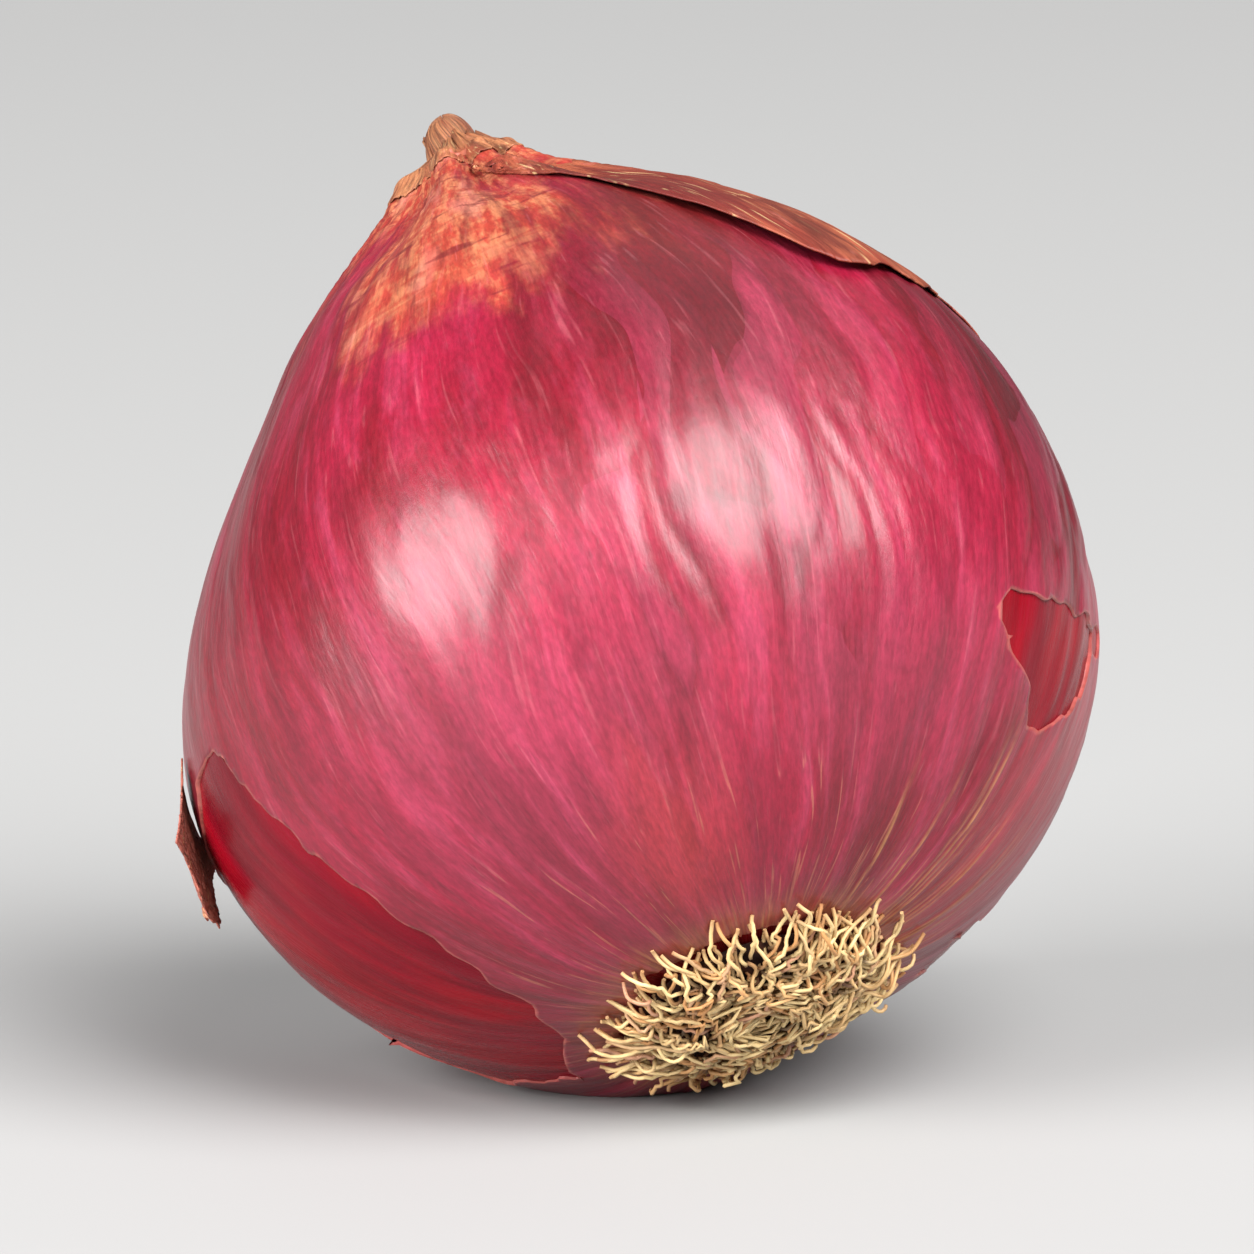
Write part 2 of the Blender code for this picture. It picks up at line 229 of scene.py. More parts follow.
def bulb_normal(share, longitude):
    step = 0.0015
    share = np.clip(share, step, 1.0 - step)
    along = bulb_place(share + step, longitude) - bulb_place(share - step, longitude)
    across = bulb_place(share, longitude + step) - bulb_place(share, longitude - step)
    normal = np.cross(across, along)
    return normal / np.maximum(np.linalg.norm(normal, axis=-1), 1e-12)[..., None]


def posed(upright):
    return upright @ POSE_TURN.T + POSE_SHIFT


def off_bulb(share, longitude, stand_off):
    """Points this far off the bulb's surface, in the resting pose."""
    share, longitude, stand_off = np.broadcast_arrays(share, longitude, stand_off)
    return posed(bulb_place(share, longitude) + bulb_normal(share, longitude) * stand_off[..., None])


def growth_of(share, longitude):
    return spun(longitude, 1.0, GROWTH_RISE * share)


def growth_point(degrees, share):
    """One place in growth coordinates, as a node's value."""
    longitude = math.radians(degrees)
    return (math.sin(longitude), -math.cos(longitude), GROWTH_RISE * share)


def share_at_radius(radius):
    """How far along the outline the root end has this radius."""
    shares = np.linspace(0.0, 0.3, 600)
    return np.interp(radius, outline_at(shares)[0] * EQUATOR_RADIUS, shares)


def outline_length():
    radius, height = outline_at(np.linspace(0.0, 1.0, 400))
    return float(np.hypot(np.diff(radius), np.diff(height)).sum() * EQUATOR_RADIUS)


SKIN_LENGTH = outline_length()


def laid_out(share, longitude, middle):
    """Skin laid flat: metres across, from a middle longitude in degrees, and metres along."""
    return turn_from(longitude, middle) * outline_at(share)[0] * EQUATOR_RADIUS, share * SKIN_LENGTH


def outside_of(outline, share, longitude):
    """Distance over the skin to an outline of (longitude, share), below zero inside it."""
    degrees, shares = np.array(outline, float).T
    x, y = laid_out(share, longitude, degrees.mean())
    corners = list(zip(*laid_out(shares, np.radians(degrees), degrees.mean())))
    nearest, inside = np.full(x.shape, 1.0), np.zeros(x.shape, bool)
    for (ax, ay), (bx, by) in zip(corners, corners[1:] + corners[:1]):
        ex, ey = bx - ax, by - ay
        t = np.clip(((x - ax) * ex + (y - ay) * ey) / (ex * ex + ey * ey), 0.0, 1.0)
        nearest = np.minimum(nearest, np.hypot(x - ax - ex * t, y - ay - ey * t))
        if ey:
            inside ^= ((ay > y) != (by > y)) & (x < ax + ex * (y - ay) / ey)
    return np.where(inside, -nearest, nearest)


def skin_margin(share, longitude):
    """How far inside the outer skin's nearest torn edge a point is; below zero where it is torn away."""
    place = bulb_place(share, longitude)
    margin = np.minimum(share - ROOT_RIM, NECK_RIM - share) * SKIN_LENGTH
    for outline in TEARS:
        margin = np.minimum(margin, outside_of(outline, share, longitude))
    for pitch, size, seed in ((7.0 * MM, 0.45 * MM, 1), (3.4 * MM, 0.28 * MM, 2), (1.6 * MM, 0.12 * MM, 3)):
        margin = margin + size * crinkle(place, pitch, seed)
    return margin


# Meshes

def mesh_of(name, places, faces, **attributes):
    mesh = bpy.data.meshes.new(name)
    mesh.from_pydata(places.reshape(-1, 3).tolist(), [], faces)
    for label, values in attributes.items():
        vector = values.ndim > 1 and values.shape[-1] == 3
        kept = mesh.attributes.new(label, "FLOAT_VECTOR" if vector else "FLOAT", "POINT")
        kept.data.foreach_set("vector" if vector else "value", values.astype(np.float32).ravel())
    mesh.validate()
    mesh.shade_smooth()
    return mesh


def grid_quads(rows, columns, wrap):
    index = np.arange(rows * columns).reshape(rows, columns)
    right = np.roll(index, -1, axis=1)
    quads = np.stack((index[:-1], right[:-1], right[1:], index[1:]), axis=-1)
    return quads if wrap else quads[:, :-1]


def grid_mesh(name, places, growth, wrap=False, poles=False):
    """A sheet of quads over a (rows, columns, 3) array; wrap joins its sides, poles close its ends."""
    rows, columns = places.shape[:2]
    faces = grid_quads(rows, columns, wrap).reshape(-1, 4).tolist()
    growth = np.broadcast_to(growth, places.shape)
    points, growths = places.reshape(-1, 3), growth.reshape(-1, 3)
    if poles:
        first, last = len(points), len(points) + 1
        points = np.concatenate((points, places[:1].mean(axis=1), places[-1:].mean(axis=1)))
        growths = np.concatenate((growths, growth[:1].mean(axis=1), growth[-1:].mean(axis=1)))
        ring = list(range(columns))
        top = (rows - 1) * columns
        faces += [(first, (i + 1) % columns, i) for i in ring]
        faces += [(top + i, top + (i + 1) % columns, last) for i in ring]
    return mesh_of(name, points, faces, growth=growths)


def new_piece(name, mesh, material=None):
    piece = bpy.data.objects.new(name, mesh)
    bpy.context.scene.collection.objects.link(piece)
    if material is not None:
        piece.data.materials.append(material)
    return piece


def applied(piece):
    """The piece with its modifiers made part of its mesh."""
    mesh = bpy.data.meshes.new_from_object(piece.evaluated_get(bpy.context.evaluated_depsgraph_get()))
    piece.modifiers.clear()
    piece.data = mesh
    mesh.shade_smooth()
    return piece


def thicken(piece, thickness):
    solid = piece.modifiers.new("skin_thickness", "SOLIDIFY")
    solid.thickness = thickness
    solid.offset = 1.0
    return applied(piece)


def turn_rim_down(piece, depth):
    """Folds a sheet's free edge down to the layer below, so that the edge shows its thickness."""
    bm = bmesh.new()
    bm.from_mesh(piece.data)
    bm.normal_update()
    rim = [edge for edge in bm.edges if edge.is_boundary]
    folded = {}
    for vert in dict.fromkeys(vert for edge in rim for vert in edge.verts):
        place = vert.co - vert.normal * depth
        place.z = max(place.z, 0.0)
        folded[vert] = bm.verts.new(place, vert)
    for edge in rim:
        beside = edge.link_loops[0]
        start, end = beside.link_loop_next.vert, beside.vert
        bm.faces.new((start, end, folded[end], folded[start]))
    bm.to_mesh(piece.data)
    bm.free()
    piece.data.shade_smooth()
    return piece


# Node trees

class InHand:
    """The node tree that is being built: new_tree and new_material take it in hand, put adds to it."""

    tree = None


def feed(sockets, values):
    """Gives each socket its value, or the link that feeds it."""
    for label, value in values.items():
        if isinstance(value, bpy.types.NodeSocket):
            InHand.tree.links.new(value, sockets[label])
        else:
            sockets[label].default_value = value


def put(kind, inputs=None, **settings):
    """A new node's outputs, its settings made and its inputs fed."""
    made = InHand.tree.nodes.new(kind)
    for name, value in settings.items():
        setattr(made, name, value)
    feed(made.inputs, inputs or {})
    return made.outputs


def out(kind, inputs=None, **settings):
    """A new node's first output."""
    return put(kind, inputs, **settings)[0]


def maths(operation, *values):
    return out("ShaderNodeMath", dict(enumerate(values)), operation=operation)


def minus(value, less):
    return maths("SUBTRACT", value, less)


def add(*values):
    return functools.reduce(functools.partial(maths, "ADD"), values)


def times(*values):
    return functools.reduce(functools.partial(maths, "MULTIPLY"), values)


def vectors(operation, *values):
    made = put("ShaderNodeVectorMath", dict(enumerate(values)), operation=operation)
    return made["Value" if operation in {"LENGTH", "DOT_PRODUCT"} else "Vector"]


def stretched(vector, by):
    return put("ShaderNodeVectorMath", {0: vector, "Scale": by}, operation="SCALE")["Vector"]


def parts_of(vector):
    return put("ShaderNodeSeparateXYZ", {0: vector})


def ramp(value, low, high, to_low=0.0, to_high=1.0):
    """A soft step from one value to another as the input passes from low to high."""
    inputs = {"Value": value, "From Min": low, "From Max": high, "To Min": to_low, "To Max": to_high}
    return put("ShaderNodeMapRange", inputs, interpolation_type="SMOOTHSTEP")["Result"]


def noise_at(place, stretch, detail=2.0, roughness=0.5, seed=0.0):
    """Noise from 0 to 1 over the growth coordinates, drawn out along the skin."""
    inputs = {
        "Vector": vectors("MULTIPLY", place, stretch),
        "W": seed,
        "Scale": 1.0,
        "Detail": detail,
        "Roughness": roughness,
    }
    return out("ShaderNodeTexNoise", inputs, noise_dimensions="4D")


def noise_way(place, stretch):
    """Noise as a vector, about -0.5 to 0.5 each way."""
    inputs = {"Vector": vectors("MULTIPLY", place, stretch), "Scale": 1.0, "Detail": 1.0}
    return vectors("SUBTRACT", put("ShaderNodeTexNoise", inputs)["Color"], (0.5, 0.5, 0.5))


def swayed(growth, stretch, amount):
    """The growth coordinates pushed about by soft noise, so that what follows them wavers."""
    return vectors("ADD", growth, vectors("MULTIPLY", noise_way(growth, stretch), amount))


SOCKET_KINDS = {tuple: "Vector", float: "Float", int: "Int"}


def new_tree(kind, name, inputs, outputs):
    """A node group. Its inputs and outputs are given by a first value each, or by the kind of socket."""
    tree = InHand.tree = bpy.data.node_groups.new(name, kind)
    for direction, sockets in (("INPUT", inputs), ("OUTPUT", outputs)):
        for label, value in sockets.items():
            socket_type = "NodeSocket" + SOCKET_KINDS.get(type(value), value)
            socket = tree.interface.new_socket(label, in_out=direction, socket_type=socket_type)
            if type(value) in SOCKET_KINDS:
                socket.default_value = value
    return tree, tree.nodes.new("NodeGroupInput").outputs, tree.nodes.new("NodeGroupOutput").inputs


def run_tree(piece, tree, **values):
    """Runs a geometry tree on the piece, inputs named by their labels in lower case; keeps the mesh."""
    modifier = piece.modifiers.new(tree.name, "NODES")
    modifier.node_group = tree
    for item in tree.interface.items_tree:
        key = item.name.lower().replace(" ", "_")
        if item.in_out == "INPUT" and key in values:
            modifier[item.identifier] = values[key]
    return applied(piece)


def longitude_of(growth):
    parts = parts_of(growth)
    return maths("ARCTAN2", parts["X"], times(parts["Y"], -1.0))


def vein_lines(growth, count, seed, width, waver):
    """Long veins round the bulb: how near each is, 0 to 1, and how strong that vein is."""
    sway = times(minus(noise_at(growth, (2.6, 2.6, 2.2), 2.0, 0.5, seed), 0.5), waver)
    phase = add(times(longitude_of(growth), 1.0 / math.tau, count), sway)
    cell = maths("FLOOR", phase)
    aside = maths("ABSOLUTE", minus(minus(phase, cell), 0.5))
    number = add(maths("FLOORED_MODULO", cell, count), seed)
    strength = put("ShaderNodeTexWhiteNoise", {"W": number}, noise_dimensions="1D")["Value"]
    return ramp(aside, 0.0, width, 1.0, 0.0), strength


def skin_lobes(growth):
    """Petal-like overlaps of the skin: their strength here, the way to a crease, and each lobe's draw."""
    wavering = swayed(growth, (4.0, 4.0, 3.0), (0.26, 0.26, 0.12))
    drawn_out = vectors("MULTIPLY", wavering, (8.0, 8.0, 1.7))
    inputs = {"Vector": drawn_out, "Scale": 1.0, "Randomness": 0.95}
    from_crease = put("ShaderNodeTexVoronoi", inputs, feature="DISTANCE_TO_EDGE")["Distance"]
    cell = put("ShaderNodeTexVoronoi", inputs, feature="F1")["Color"]
    draw = parts_of(cell)["X"]
    side = vectors("DOT_PRODUCT", growth, growth_point(16.0, 0.0))
    up_the_skin = parts_of(growth)["Z"]
    band = times(ramp(up_the_skin, 0.50, 0.85), ramp(up_the_skin, 1.75, 1.35))
    return times(ramp(side, 0.2, 0.9, 0.25, 1.0), band), from_crease, draw


# Relief of the skin

def set_material(geometry, material):
    realized = out("GeometryNodeRealizeInstances", {"Geometry": geometry})
    return out("GeometryNodeSetMaterial", {"Geometry": realized, "Material": material})


def kept_attribute(name, data_type="FLOAT"):
    return out("GeometryNodeInputNamedAttribute", {"Name": name}, data_type=data_type)


def keep_attribute(geometry, name, value, data_type="FLOAT"):
    inputs = {"Geometry": geometry, "Name": name, "Value": value}
    return out("GeometryNodeStoreNamedAttribute", inputs, data_type=data_type, domain="POINT")


def skin_relief_tree():
    """Raises veins, folds, pleats and wrinkles on a piece of skin, and keeps it off the floor."""
    tree, given, result = new_tree("GeometryNodeTree", "skin_relief", {
        "Geometry": "Geometry",
        "Vein Count": 52.0,
        "Vein Height": 0.07 * MM,
        "Thread Count": 176.0,
        "Thread Height": 0.14 * MM,
        "Thread Side": growth_point(46.0, 0.0),
        "Fold Height": 0.58 * MM,
        "Ripple Height": 0.20 * MM,
        "Lobe Height": 0.15 * MM,
        "Pleat Count": 27.0,
        "Pleat Height": 0.10 * MM,
        "Wrinkle Height": 0.45 * MM,
        "Floor Height": 0.0,
        "Seed": 3.0,
        "Material": "Material",
    }, {"Geometry": "Geometry"})
    growth = kept_attribute("growth", "FLOAT_VECTOR")
    seed = given["Seed"]
    up_the_skin = parts_of(growth)["Z"]
    near_neck = ramp(up_the_skin, 1.65, 2.35)
    at_neck = ramp(up_the_skin, 1.95, 2.75)

    def centred(stretch, detail, roughness, over=growth):
        return minus(noise_at(over, stretch, detail, roughness, seed), 0.5)

    bent = swayed(growth, (3.0, 3.0, 2.0), (0.22, 0.22, 0.0))
    fold = centred((5.2, 5.2, 2.0), 1.0, 0.4, bent)
    ripple = centred((11.0, 11.0, 2.6), 2.0, 0.5, bent)
    wrinkle = add(centred((3.2, 3.2, 19.0), 3.0, 0.55, bent), centred((15.0, 15.0, 7.0), 3.0, 0.6))
    line, strength = vein_lines(growth, given["Vein Count"], seed, 0.13, 4.5)
    broken = ramp(noise_at(growth, (5.0, 5.0, 2.0), 1.0, 0.5, 7.0), 0.35, 0.6)
    vein = times(line, strength, broken)
    root_line, root_strength = vein_lines(growth, given["Thread Count"], 12.0, 0.30, 4.0)
    threaded = ramp(vectors("DOT_PRODUCT", growth, given["Thread Side"]), 0.70, 0.97)
    reach = times(noise_at(growth, (9.0, 9.0, 0.5), 1.0, 0.5, 31.0), add(0.32, times(threaded, 0.55)))
    near_root = ramp(minus(up_the_skin, reach), 0.02, 0.22, 1.0, 0.0)
    thread = times(root_line, ramp(root_strength, 0.25, 0.75), near_root)
    sway = times(noise_at(growth, (3.0, 3.0, 1.6), 2.0, 0.5, 5.0), 9.0)
    pleat = maths("COSINE", add(times(longitude_of(growth), given["Pleat Count"]), sway))
    lobed, from_crease, lobe_draw = skin_lobes(growth)
    lobe = times(lobed, add(ramp(from_crease, 0.0, 0.28), times(lobe_draw, 0.6), -0.8))
    height = add(
        times(vein, given["Vein Height"]),
        times(lobe, given["Lobe Height"]),
        times(thread, given["Thread Height"]),
        times(fold, given["Fold Height"]),
        times(ripple, given["Ripple Height"]),
        times(pleat, given["Pleat Height"], at_neck),
        times(wrinkle, given["Wrinkle Height"], near_neck),
    )
    normal = out("GeometryNodeInputNormal")
    raised_skin = out("GeometryNodeSetPosition", {
        "Geometry": given["Geometry"], "Offset": stretched(normal, height),
    })
    floor = out("ShaderNodeCombineXYZ", {"X": -1.0, "Y": -1.0, "Z": given["Floor Height"]})
    here = out("GeometryNodeInputPosition")
    clear = out("GeometryNodeSetPosition", {
        "Geometry": raised_skin, "Position": vectors("MAXIMUM", here, floor),
    })
    marked = keep_attribute(keep_attribute(clear, "vein", vein), "thread", thread)
    feed(result, {"Geometry": set_material(marked, given["Material"])})
    return tree


# Shader groups

GRAIN_INPUTS = {"Growth": "Vector", "Seed": 0.0}


def skin_fibres_group():
    """Fine fibres that run from the root end to the neck: their tone, and fine dark and pale threads."""
    marks = dict.fromkeys(("Streak", "Silk", "Dark Thread", "Pale Thread"), "Float")
    tree, given, result = new_tree("ShaderNodeTree", "skin_fibres", GRAIN_INPUTS, marks)
    growth, seed = given["Growth"], given["Seed"]
    bent = swayed(growth, (3.0, 3.0, 2.4), (0.16, 0.16, 0.0))
    feed(result, {
        "Streak": noise_at(bent, (17.0, 17.0, 3.2), 3.0, 0.50, seed),
        "Silk": noise_at(bent, (100.0, 100.0, 12.0), 3.0, 0.6, seed),
        "Dark Thread": ramp(noise_at(bent, (58.0, 58.0, 3.4), 1.0, 0.5, 11.0), 0.60, 0.74),
        "Pale Thread": ramp(noise_at(bent, (66.0, 66.0, 4.0), 1.0, 0.5, 23.0), 0.60, 0.74),
    })
    return tree


def skin_patch_group():
    """A patch of skin round a place in growth coordinates, soft or crisp at its uneven edge."""
    tree, given, result = new_tree("ShaderNodeTree", "skin_patch", {
        "Growth": "Vector",
        "Place": "Vector",
        "Reach": (0.3, 0.3, 0.3),
        "Unevenness": 0.5,
        "Softness": 0.5,
    }, {"Mask": "Float"})
    uneven = minus(noise_at(given["Growth"], (7.0, 7.0, 3.4), 4.0, 0.55), 0.5)
    off = vectors("DIVIDE", vectors("SUBTRACT", given["Growth"], given["Place"]), given["Reach"])
    rim = add(vectors("LENGTH", off), times(uneven, given["Unevenness"]))
    feed(result, {"Mask": ramp(rim, minus(1.0, given["Softness"]), 1.0, 1.0, 0.0)})
    return tree


def paper_mottle_group():
    """The cloudy, flecked tone of dry papery skin."""
    marks = dict.fromkeys(("Cloud", "Blotch", "Fleck"), "Float")
    tree, given, result = new_tree("ShaderNodeTree", "paper_mottle", GRAIN_INPUTS, marks)
    growth, seed = given["Growth"], given["Seed"]
    feed(result, {
        "Cloud": noise_at(growth, (3.6, 3.6, 2.2), 3.0, 0.55, seed),
        "Blotch": noise_at(growth, (16.0, 16.0, 9.0), 4.0, 0.65, seed),
        "Fleck": noise_at(growth, (90.0, 90.0, 55.0), 2.0, 0.6, seed),
    })
    return tree


def new_material(name, specular=0.5, coat_roughness=0.25):
    """A material and its shader's inputs."""
    material = bpy.data.materials.new(name)
    material.use_nodes = True
    InHand.tree = material.node_tree
    shader = material.node_tree.nodes["Principled BSDF"].inputs
    feed(shader, {"Specular IOR Level": specular, "Coat Roughness": coat_roughness})
    return material, shader


def surface_attribute(name):
    return put("ShaderNodeAttribute", attribute_name=name)


def placed(group, **values):
    """A shader group in a material, its inputs named by their labels in lower case."""
    made = InHand.tree.nodes.new("ShaderNodeGroup")
    made.node_tree = group
    feed(made.inputs, {label.title(): value for label, value in values.items()})
    return made.outputs


def blend(factor, below, above, mode="MIX"):
    """Two colours blended by a factor, through the sockets that a mix of colours uses."""
    return put("ShaderNodeMix", {0: factor, 6: below, 7: above}, data_type="RGBA", blend_type=mode)[2]


def painted(colour, *coats):
    """The colour under coats of paint, each given as its mask and its paint."""
    for mask, paint in coats:
        colour = blend(mask, colour, paint)
    return colour


def toned(colour, tone):
    """The colour, lightened or darkened by a tone."""
    grey = out("ShaderNodeCombineColor", {0: tone, 1: tone, 2: tone})
    return blend(1.0, colour, grey, "MULTIPLY")


def raised(height, strength, distance, below=None):
    """A bump; below is the normal of a coarser bump under it."""
    inputs = {"Height": height, "Strength": strength, "Distance": distance}
    if below is not None:
        inputs["Normal"] = below
    return out("ShaderNodeBump", inputs)


# Materials

ROSE = srgb(127, 13, 41)
CRIMSON = srgb(100, 4, 21)
DEEP_CRIMSON = srgb(74, 1, 11)
INNER_CRIMSON = srgb(122, 2, 18)
MAUVE = srgb(141, 47, 73)
WARM_ROSE = srgb(150, 42, 44)
BROWN_MAUVE = srgb(136, 30, 42)
RED_BROWN = srgb(84, 14, 14)
PALE_THREAD = srgb(196, 116, 122)
DARK_THREAD = srgb(70, 6, 18)
NECK_TAN = srgb(160, 94, 62)
NECK_ORANGE = srgb(134, 42, 26)
NECK_BLUSH = srgb(172, 106, 90)
ROOT_TAN = srgb(150, 92, 58)
EDGE_TAN = srgb(172, 98, 84)
STRAW = srgb(180, 130, 80)
PALE_STRAW = srgb(214, 186, 132)
BARK = srgb(66, 34, 20)
DARK_BARK = srgb(32, 14, 10)
LOOSE_PAPER = (srgb(144, 74, 48), srgb(88, 33, 20), srgb(118, 32, 22))  # tan, brown, red
WITHERED_LEAF = (srgb(152, 96, 62), srgb(92, 48, 28), srgb(134, 58, 38))
OUTER_COAT = 0.26
INNER_COAT = 0.06

SKIN_PATCHES = (  # colour, strength, longitude, share, reach, unevenness, softness
    (MAUVE, 0.38, -48.0, 0.250, (0.80, 0.80, 0.46), 1.4, 0.8),
    (WARM_ROSE, 0.50, -34.0, 0.165, (0.36, 0.36, 0.30), 1.2, 0.9),
    (MAUVE, 0.30, 10.0, 0.250, (0.42, 0.42, 0.34), 1.4, 0.8),
    (BROWN_MAUVE, 0.70, 62.0, 0.190, (0.50, 0.50, 0.50), 1.0, 0.6),
    # Painted shade: crimson and deep crimson darken the upper right shoulder.
    (CRIMSON, 0.70, 40.0, 0.430, (0.36, 0.36, 0.75), 1.4, 0.9),
    (DEEP_CRIMSON, 0.90, 42.0, 0.460, (0.46, 0.46, 0.50), 1.0, 0.9),
    (CRIMSON, 0.60, -86.0, 0.450, (0.46, 0.46, 0.95), 1.2, 0.9),
    # Painted shade: deep crimson darkens the top of the bulb, below the neck.
    (DEEP_CRIMSON, 0.95, -12.0, 0.475, (0.56, 0.56, 0.42), 0.9, 0.9),
    (RED_BROWN, 0.90, 4.0, 0.590, (0.56, 0.56, 0.32), 1.2, 0.8),
    (CRIMSON, 0.85, -94.0, 0.400, (0.26, 0.26, 0.34), 0.8, 0.7),
    # Painted shade in the creases of the dents, in crimson and deep crimson.
    (CRIMSON, 0.85, -9.0, 0.300, (0.05, 0.10, 0.10), 0.6, 0.8),
    (CRIMSON, 0.55, -15.5, 0.352, (0.010, 0.05, 0.055), 0.3, 0.8),
    (CRIMSON, 0.45, -12.0, 0.356, (0.009, 0.05, 0.038), 0.3, 0.8),
    (DEEP_CRIMSON, 0.80, -6.5, 0.306, (0.016, 0.06, 0.085), 0.3, 0.7),
    (DEEP_CRIMSON, 0.60, 31.0, 0.205, (0.018, 0.05, 0.085), 0.3, 0.7),
    (MAUVE, 0.55, -178.0, 0.360, (0.60, 0.60, 0.50), 1.4, 0.8),
    (CRIMSON, 0.60, 118.0, 0.400, (0.42, 0.42, 0.80), 1.3, 0.9),
)
FLAP_PATCHES = (
    (RED_BROWN, 0.80, 4.0, 0.630, (0.50, 0.50, 0.40), 0.9, 0.7),
    # Painted light: tan lightens the side scrap, which sits in shade turned from the lamps.
    (EDGE_TAN, 0.70, -118.0, 0.350, (0.40, 0.40, 0.20), 0.6, 0.6),
)
LEFT_FLANK = (-38.0, 0.61, (0.66, 0.66, 0.52), 1.1, 0.9)  # where the neck's tan reaches further down


def patch_mask(paints, growth, longitude, share, reach, unevenness, softness):
    place = growth_point(longitude, share)
    values = dict(growth=growth, place=place, reach=reach, unevenness=unevenness, softness=softness)
    return placed(paints.patch, **values)["Mask"]


def patch_coats(paints, growth, patches):
    for paint, strength, *form in patches:
        yield times(patch_mask(paints, growth, *form), strength), paint


def skin_grain(paints, fibre_seed, mottle_seed):
    """The growth coordinates on a piece, with its fibres and its mottle."""
    growth = surface_attribute("growth")["Vector"]
    fibres = placed(paints.fibres, growth=growth, seed=fibre_seed)
    return growth, fibres, placed(paints.mottle, growth=growth, seed=mottle_seed)


def unevenly(pattern, low, high):
    """A value between two limits, as the pattern goes from its usual lowest to its usual highest."""
    return ramp(pattern, 0.3, 0.7, low, high)


def specks(scale, detail):
    place = put("ShaderNodeTexCoord")["Object"]
    return out("ShaderNodeTexNoise", {"Vector": place, "Scale": scale, "Detail": detail})


def dry_neck_colour(growth, fibres, mottle):
    """Mottled tan, orange and pale pink, with red-brown arcs round the neck and streaks along it."""
    arcs = noise_at(growth, (3.4, 3.4, 21.0), 3.0, 0.6, 14.0)
    return painted(
        NECK_ORANGE,
        (ramp(mottle["Blotch"], 0.42, 0.60), NECK_TAN),
        (ramp(mottle["Cloud"], 0.50, 0.64, 0.0, 0.6), NECK_BLUSH),
        (ramp(arcs, 0.50, 0.62, 0.0, 0.65), NECK_ORANGE),
        (ramp(arcs, 0.44, 0.34, 0.0, 0.75), RED_BROWN),
        (ramp(fibres["Streak"], 0.46, 0.32, 0.0, 0.55), RED_BROWN),
    )


def outer_skin_material(paints):
    """The dry outer skin: silky rose and crimson with long fibres, tan and dull towards the neck, with
    painted shade in its creases, on the upper right shoulder and over the top.
    """
    material, shader = new_material("outer_skin", specular=0.36, coat_roughness=0.24)
    vein, thread, edge = (surface_attribute(label)["Fac"] for label in ("vein", "thread", "edge"))
    growth, fibres, mottle = skin_grain(paints, 2.0, 4.0)
    up_the_skin = parts_of(growth)["Z"]
    lobed, from_crease, lobe_draw = skin_lobes(growth)
    creased = ramp(noise_at(growth, (5.0, 5.0, 3.0), 1.0, 0.5, 19.0), 0.48, 0.64)
    uneven = times(minus(mottle["Cloud"], 0.5), 0.9)
    streaky = times(minus(fibres["Streak"], 0.5), 0.8)
    left_flank = patch_mask(paints, growth, *LEFT_FLANK)
    neck = ramp(add(up_the_skin, uneven, streaky, times(left_flank, 0.85)), 1.85, 2.45)
    root = ramp(minus(up_the_skin, times(fibres["Pale Thread"], 0.3)), 0.38, 0.26)
    colour = painted(
        ROSE,
        (ramp(mottle["Cloud"], 0.36, 0.64), CRIMSON),
        (ramp(mottle["Blotch"], 0.50, 0.72, 0.0, 0.30), MAUVE),
        (ramp(fibres["Streak"], 0.50, 0.74, 0.0, 0.50), MAUVE),
        *patch_coats(paints, growth, SKIN_PATCHES),
        (times(lobed, ramp(lobe_draw, 0.45, 0.95, 0.0, 0.30)), MAUVE),
        # Painted shade: deep crimson in the creases between the lobes.
        (times(lobed, creased, ramp(from_crease, 0.10, 0.0), 0.45), DEEP_CRIMSON),
        (times(neck, 0.9), dry_neck_colour(growth, fibres, mottle)),
        (times(root, 0.40), ROOT_TAN),
        (times(fibres["Dark Thread"], 0.16), DARK_THREAD),
        (times(fibres["Pale Thread"], 0.10), PALE_THREAD),
        (times(vein, 0.40), DARK_THREAD),
        (times(thread, 0.75), STRAW),
        (times(ramp(edge, 0.80, 0.99), 0.45), EDGE_TAN),
    )
    tone = times(
        unevenly(fibres["Streak"], 0.86, 1.14), unevenly(fibres["Silk"], 0.91, 1.09),
        unevenly(mottle["Fleck"], 0.86, 1.14),
    )
    threads = add(fibres["Silk"], times(minus(fibres["Pale Thread"], fibres["Dark Thread"]), 0.3))
    grain = raised(threads, 0.25, 0.08 * MM, raised(fibres["Streak"], 0.4, 0.30 * MM))
    feed(shader, {
        "Base Color": toned(colour, tone),
        "Roughness": add(unevenly(fibres["Silk"], 0.36, 0.46), times(neck, 0.20)),
        "Coat Weight": minus(OUTER_COAT, times(neck, OUTER_COAT)),
        "Normal": raised(mottle["Fleck"], 0.4, 0.07 * MM, grain),
    })
    return material


def inner_skin_material(paints):
    """The skin under the outer one: glossy deep crimson with fine pale lines, papery at the neck."""
    material, shader = new_material("inner_skin", specular=0.10, coat_roughness=0.16)
    growth, fibres, mottle = skin_grain(paints, 8.0, 1.0)
    up_the_skin = parts_of(growth)["Z"]
    neck = ramp(up_the_skin, 2.25, 2.60)
    colour = painted(
        INNER_CRIMSON,
        (ramp(mottle["Cloud"], 0.38, 0.62), CRIMSON),
        (times(fibres["Pale Thread"], 0.25), ROSE),
        (neck, dry_neck_colour(growth, fibres, mottle)),
        (times(ramp(up_the_skin, 0.34, 0.24), 0.85), RED_BROWN),
    )
    feed(shader, {
        "Base Color": toned(colour, unevenly(fibres["Streak"], 0.75, 1.25)),
        "Roughness": add(unevenly(fibres["Silk"], 0.22, 0.34), times(neck, 0.3)),
        "Coat Weight": minus(INNER_COAT, times(neck, INNER_COAT)),
        "Normal": raised(fibres["Silk"], 0.35, 0.10 * MM),
    })
    return material


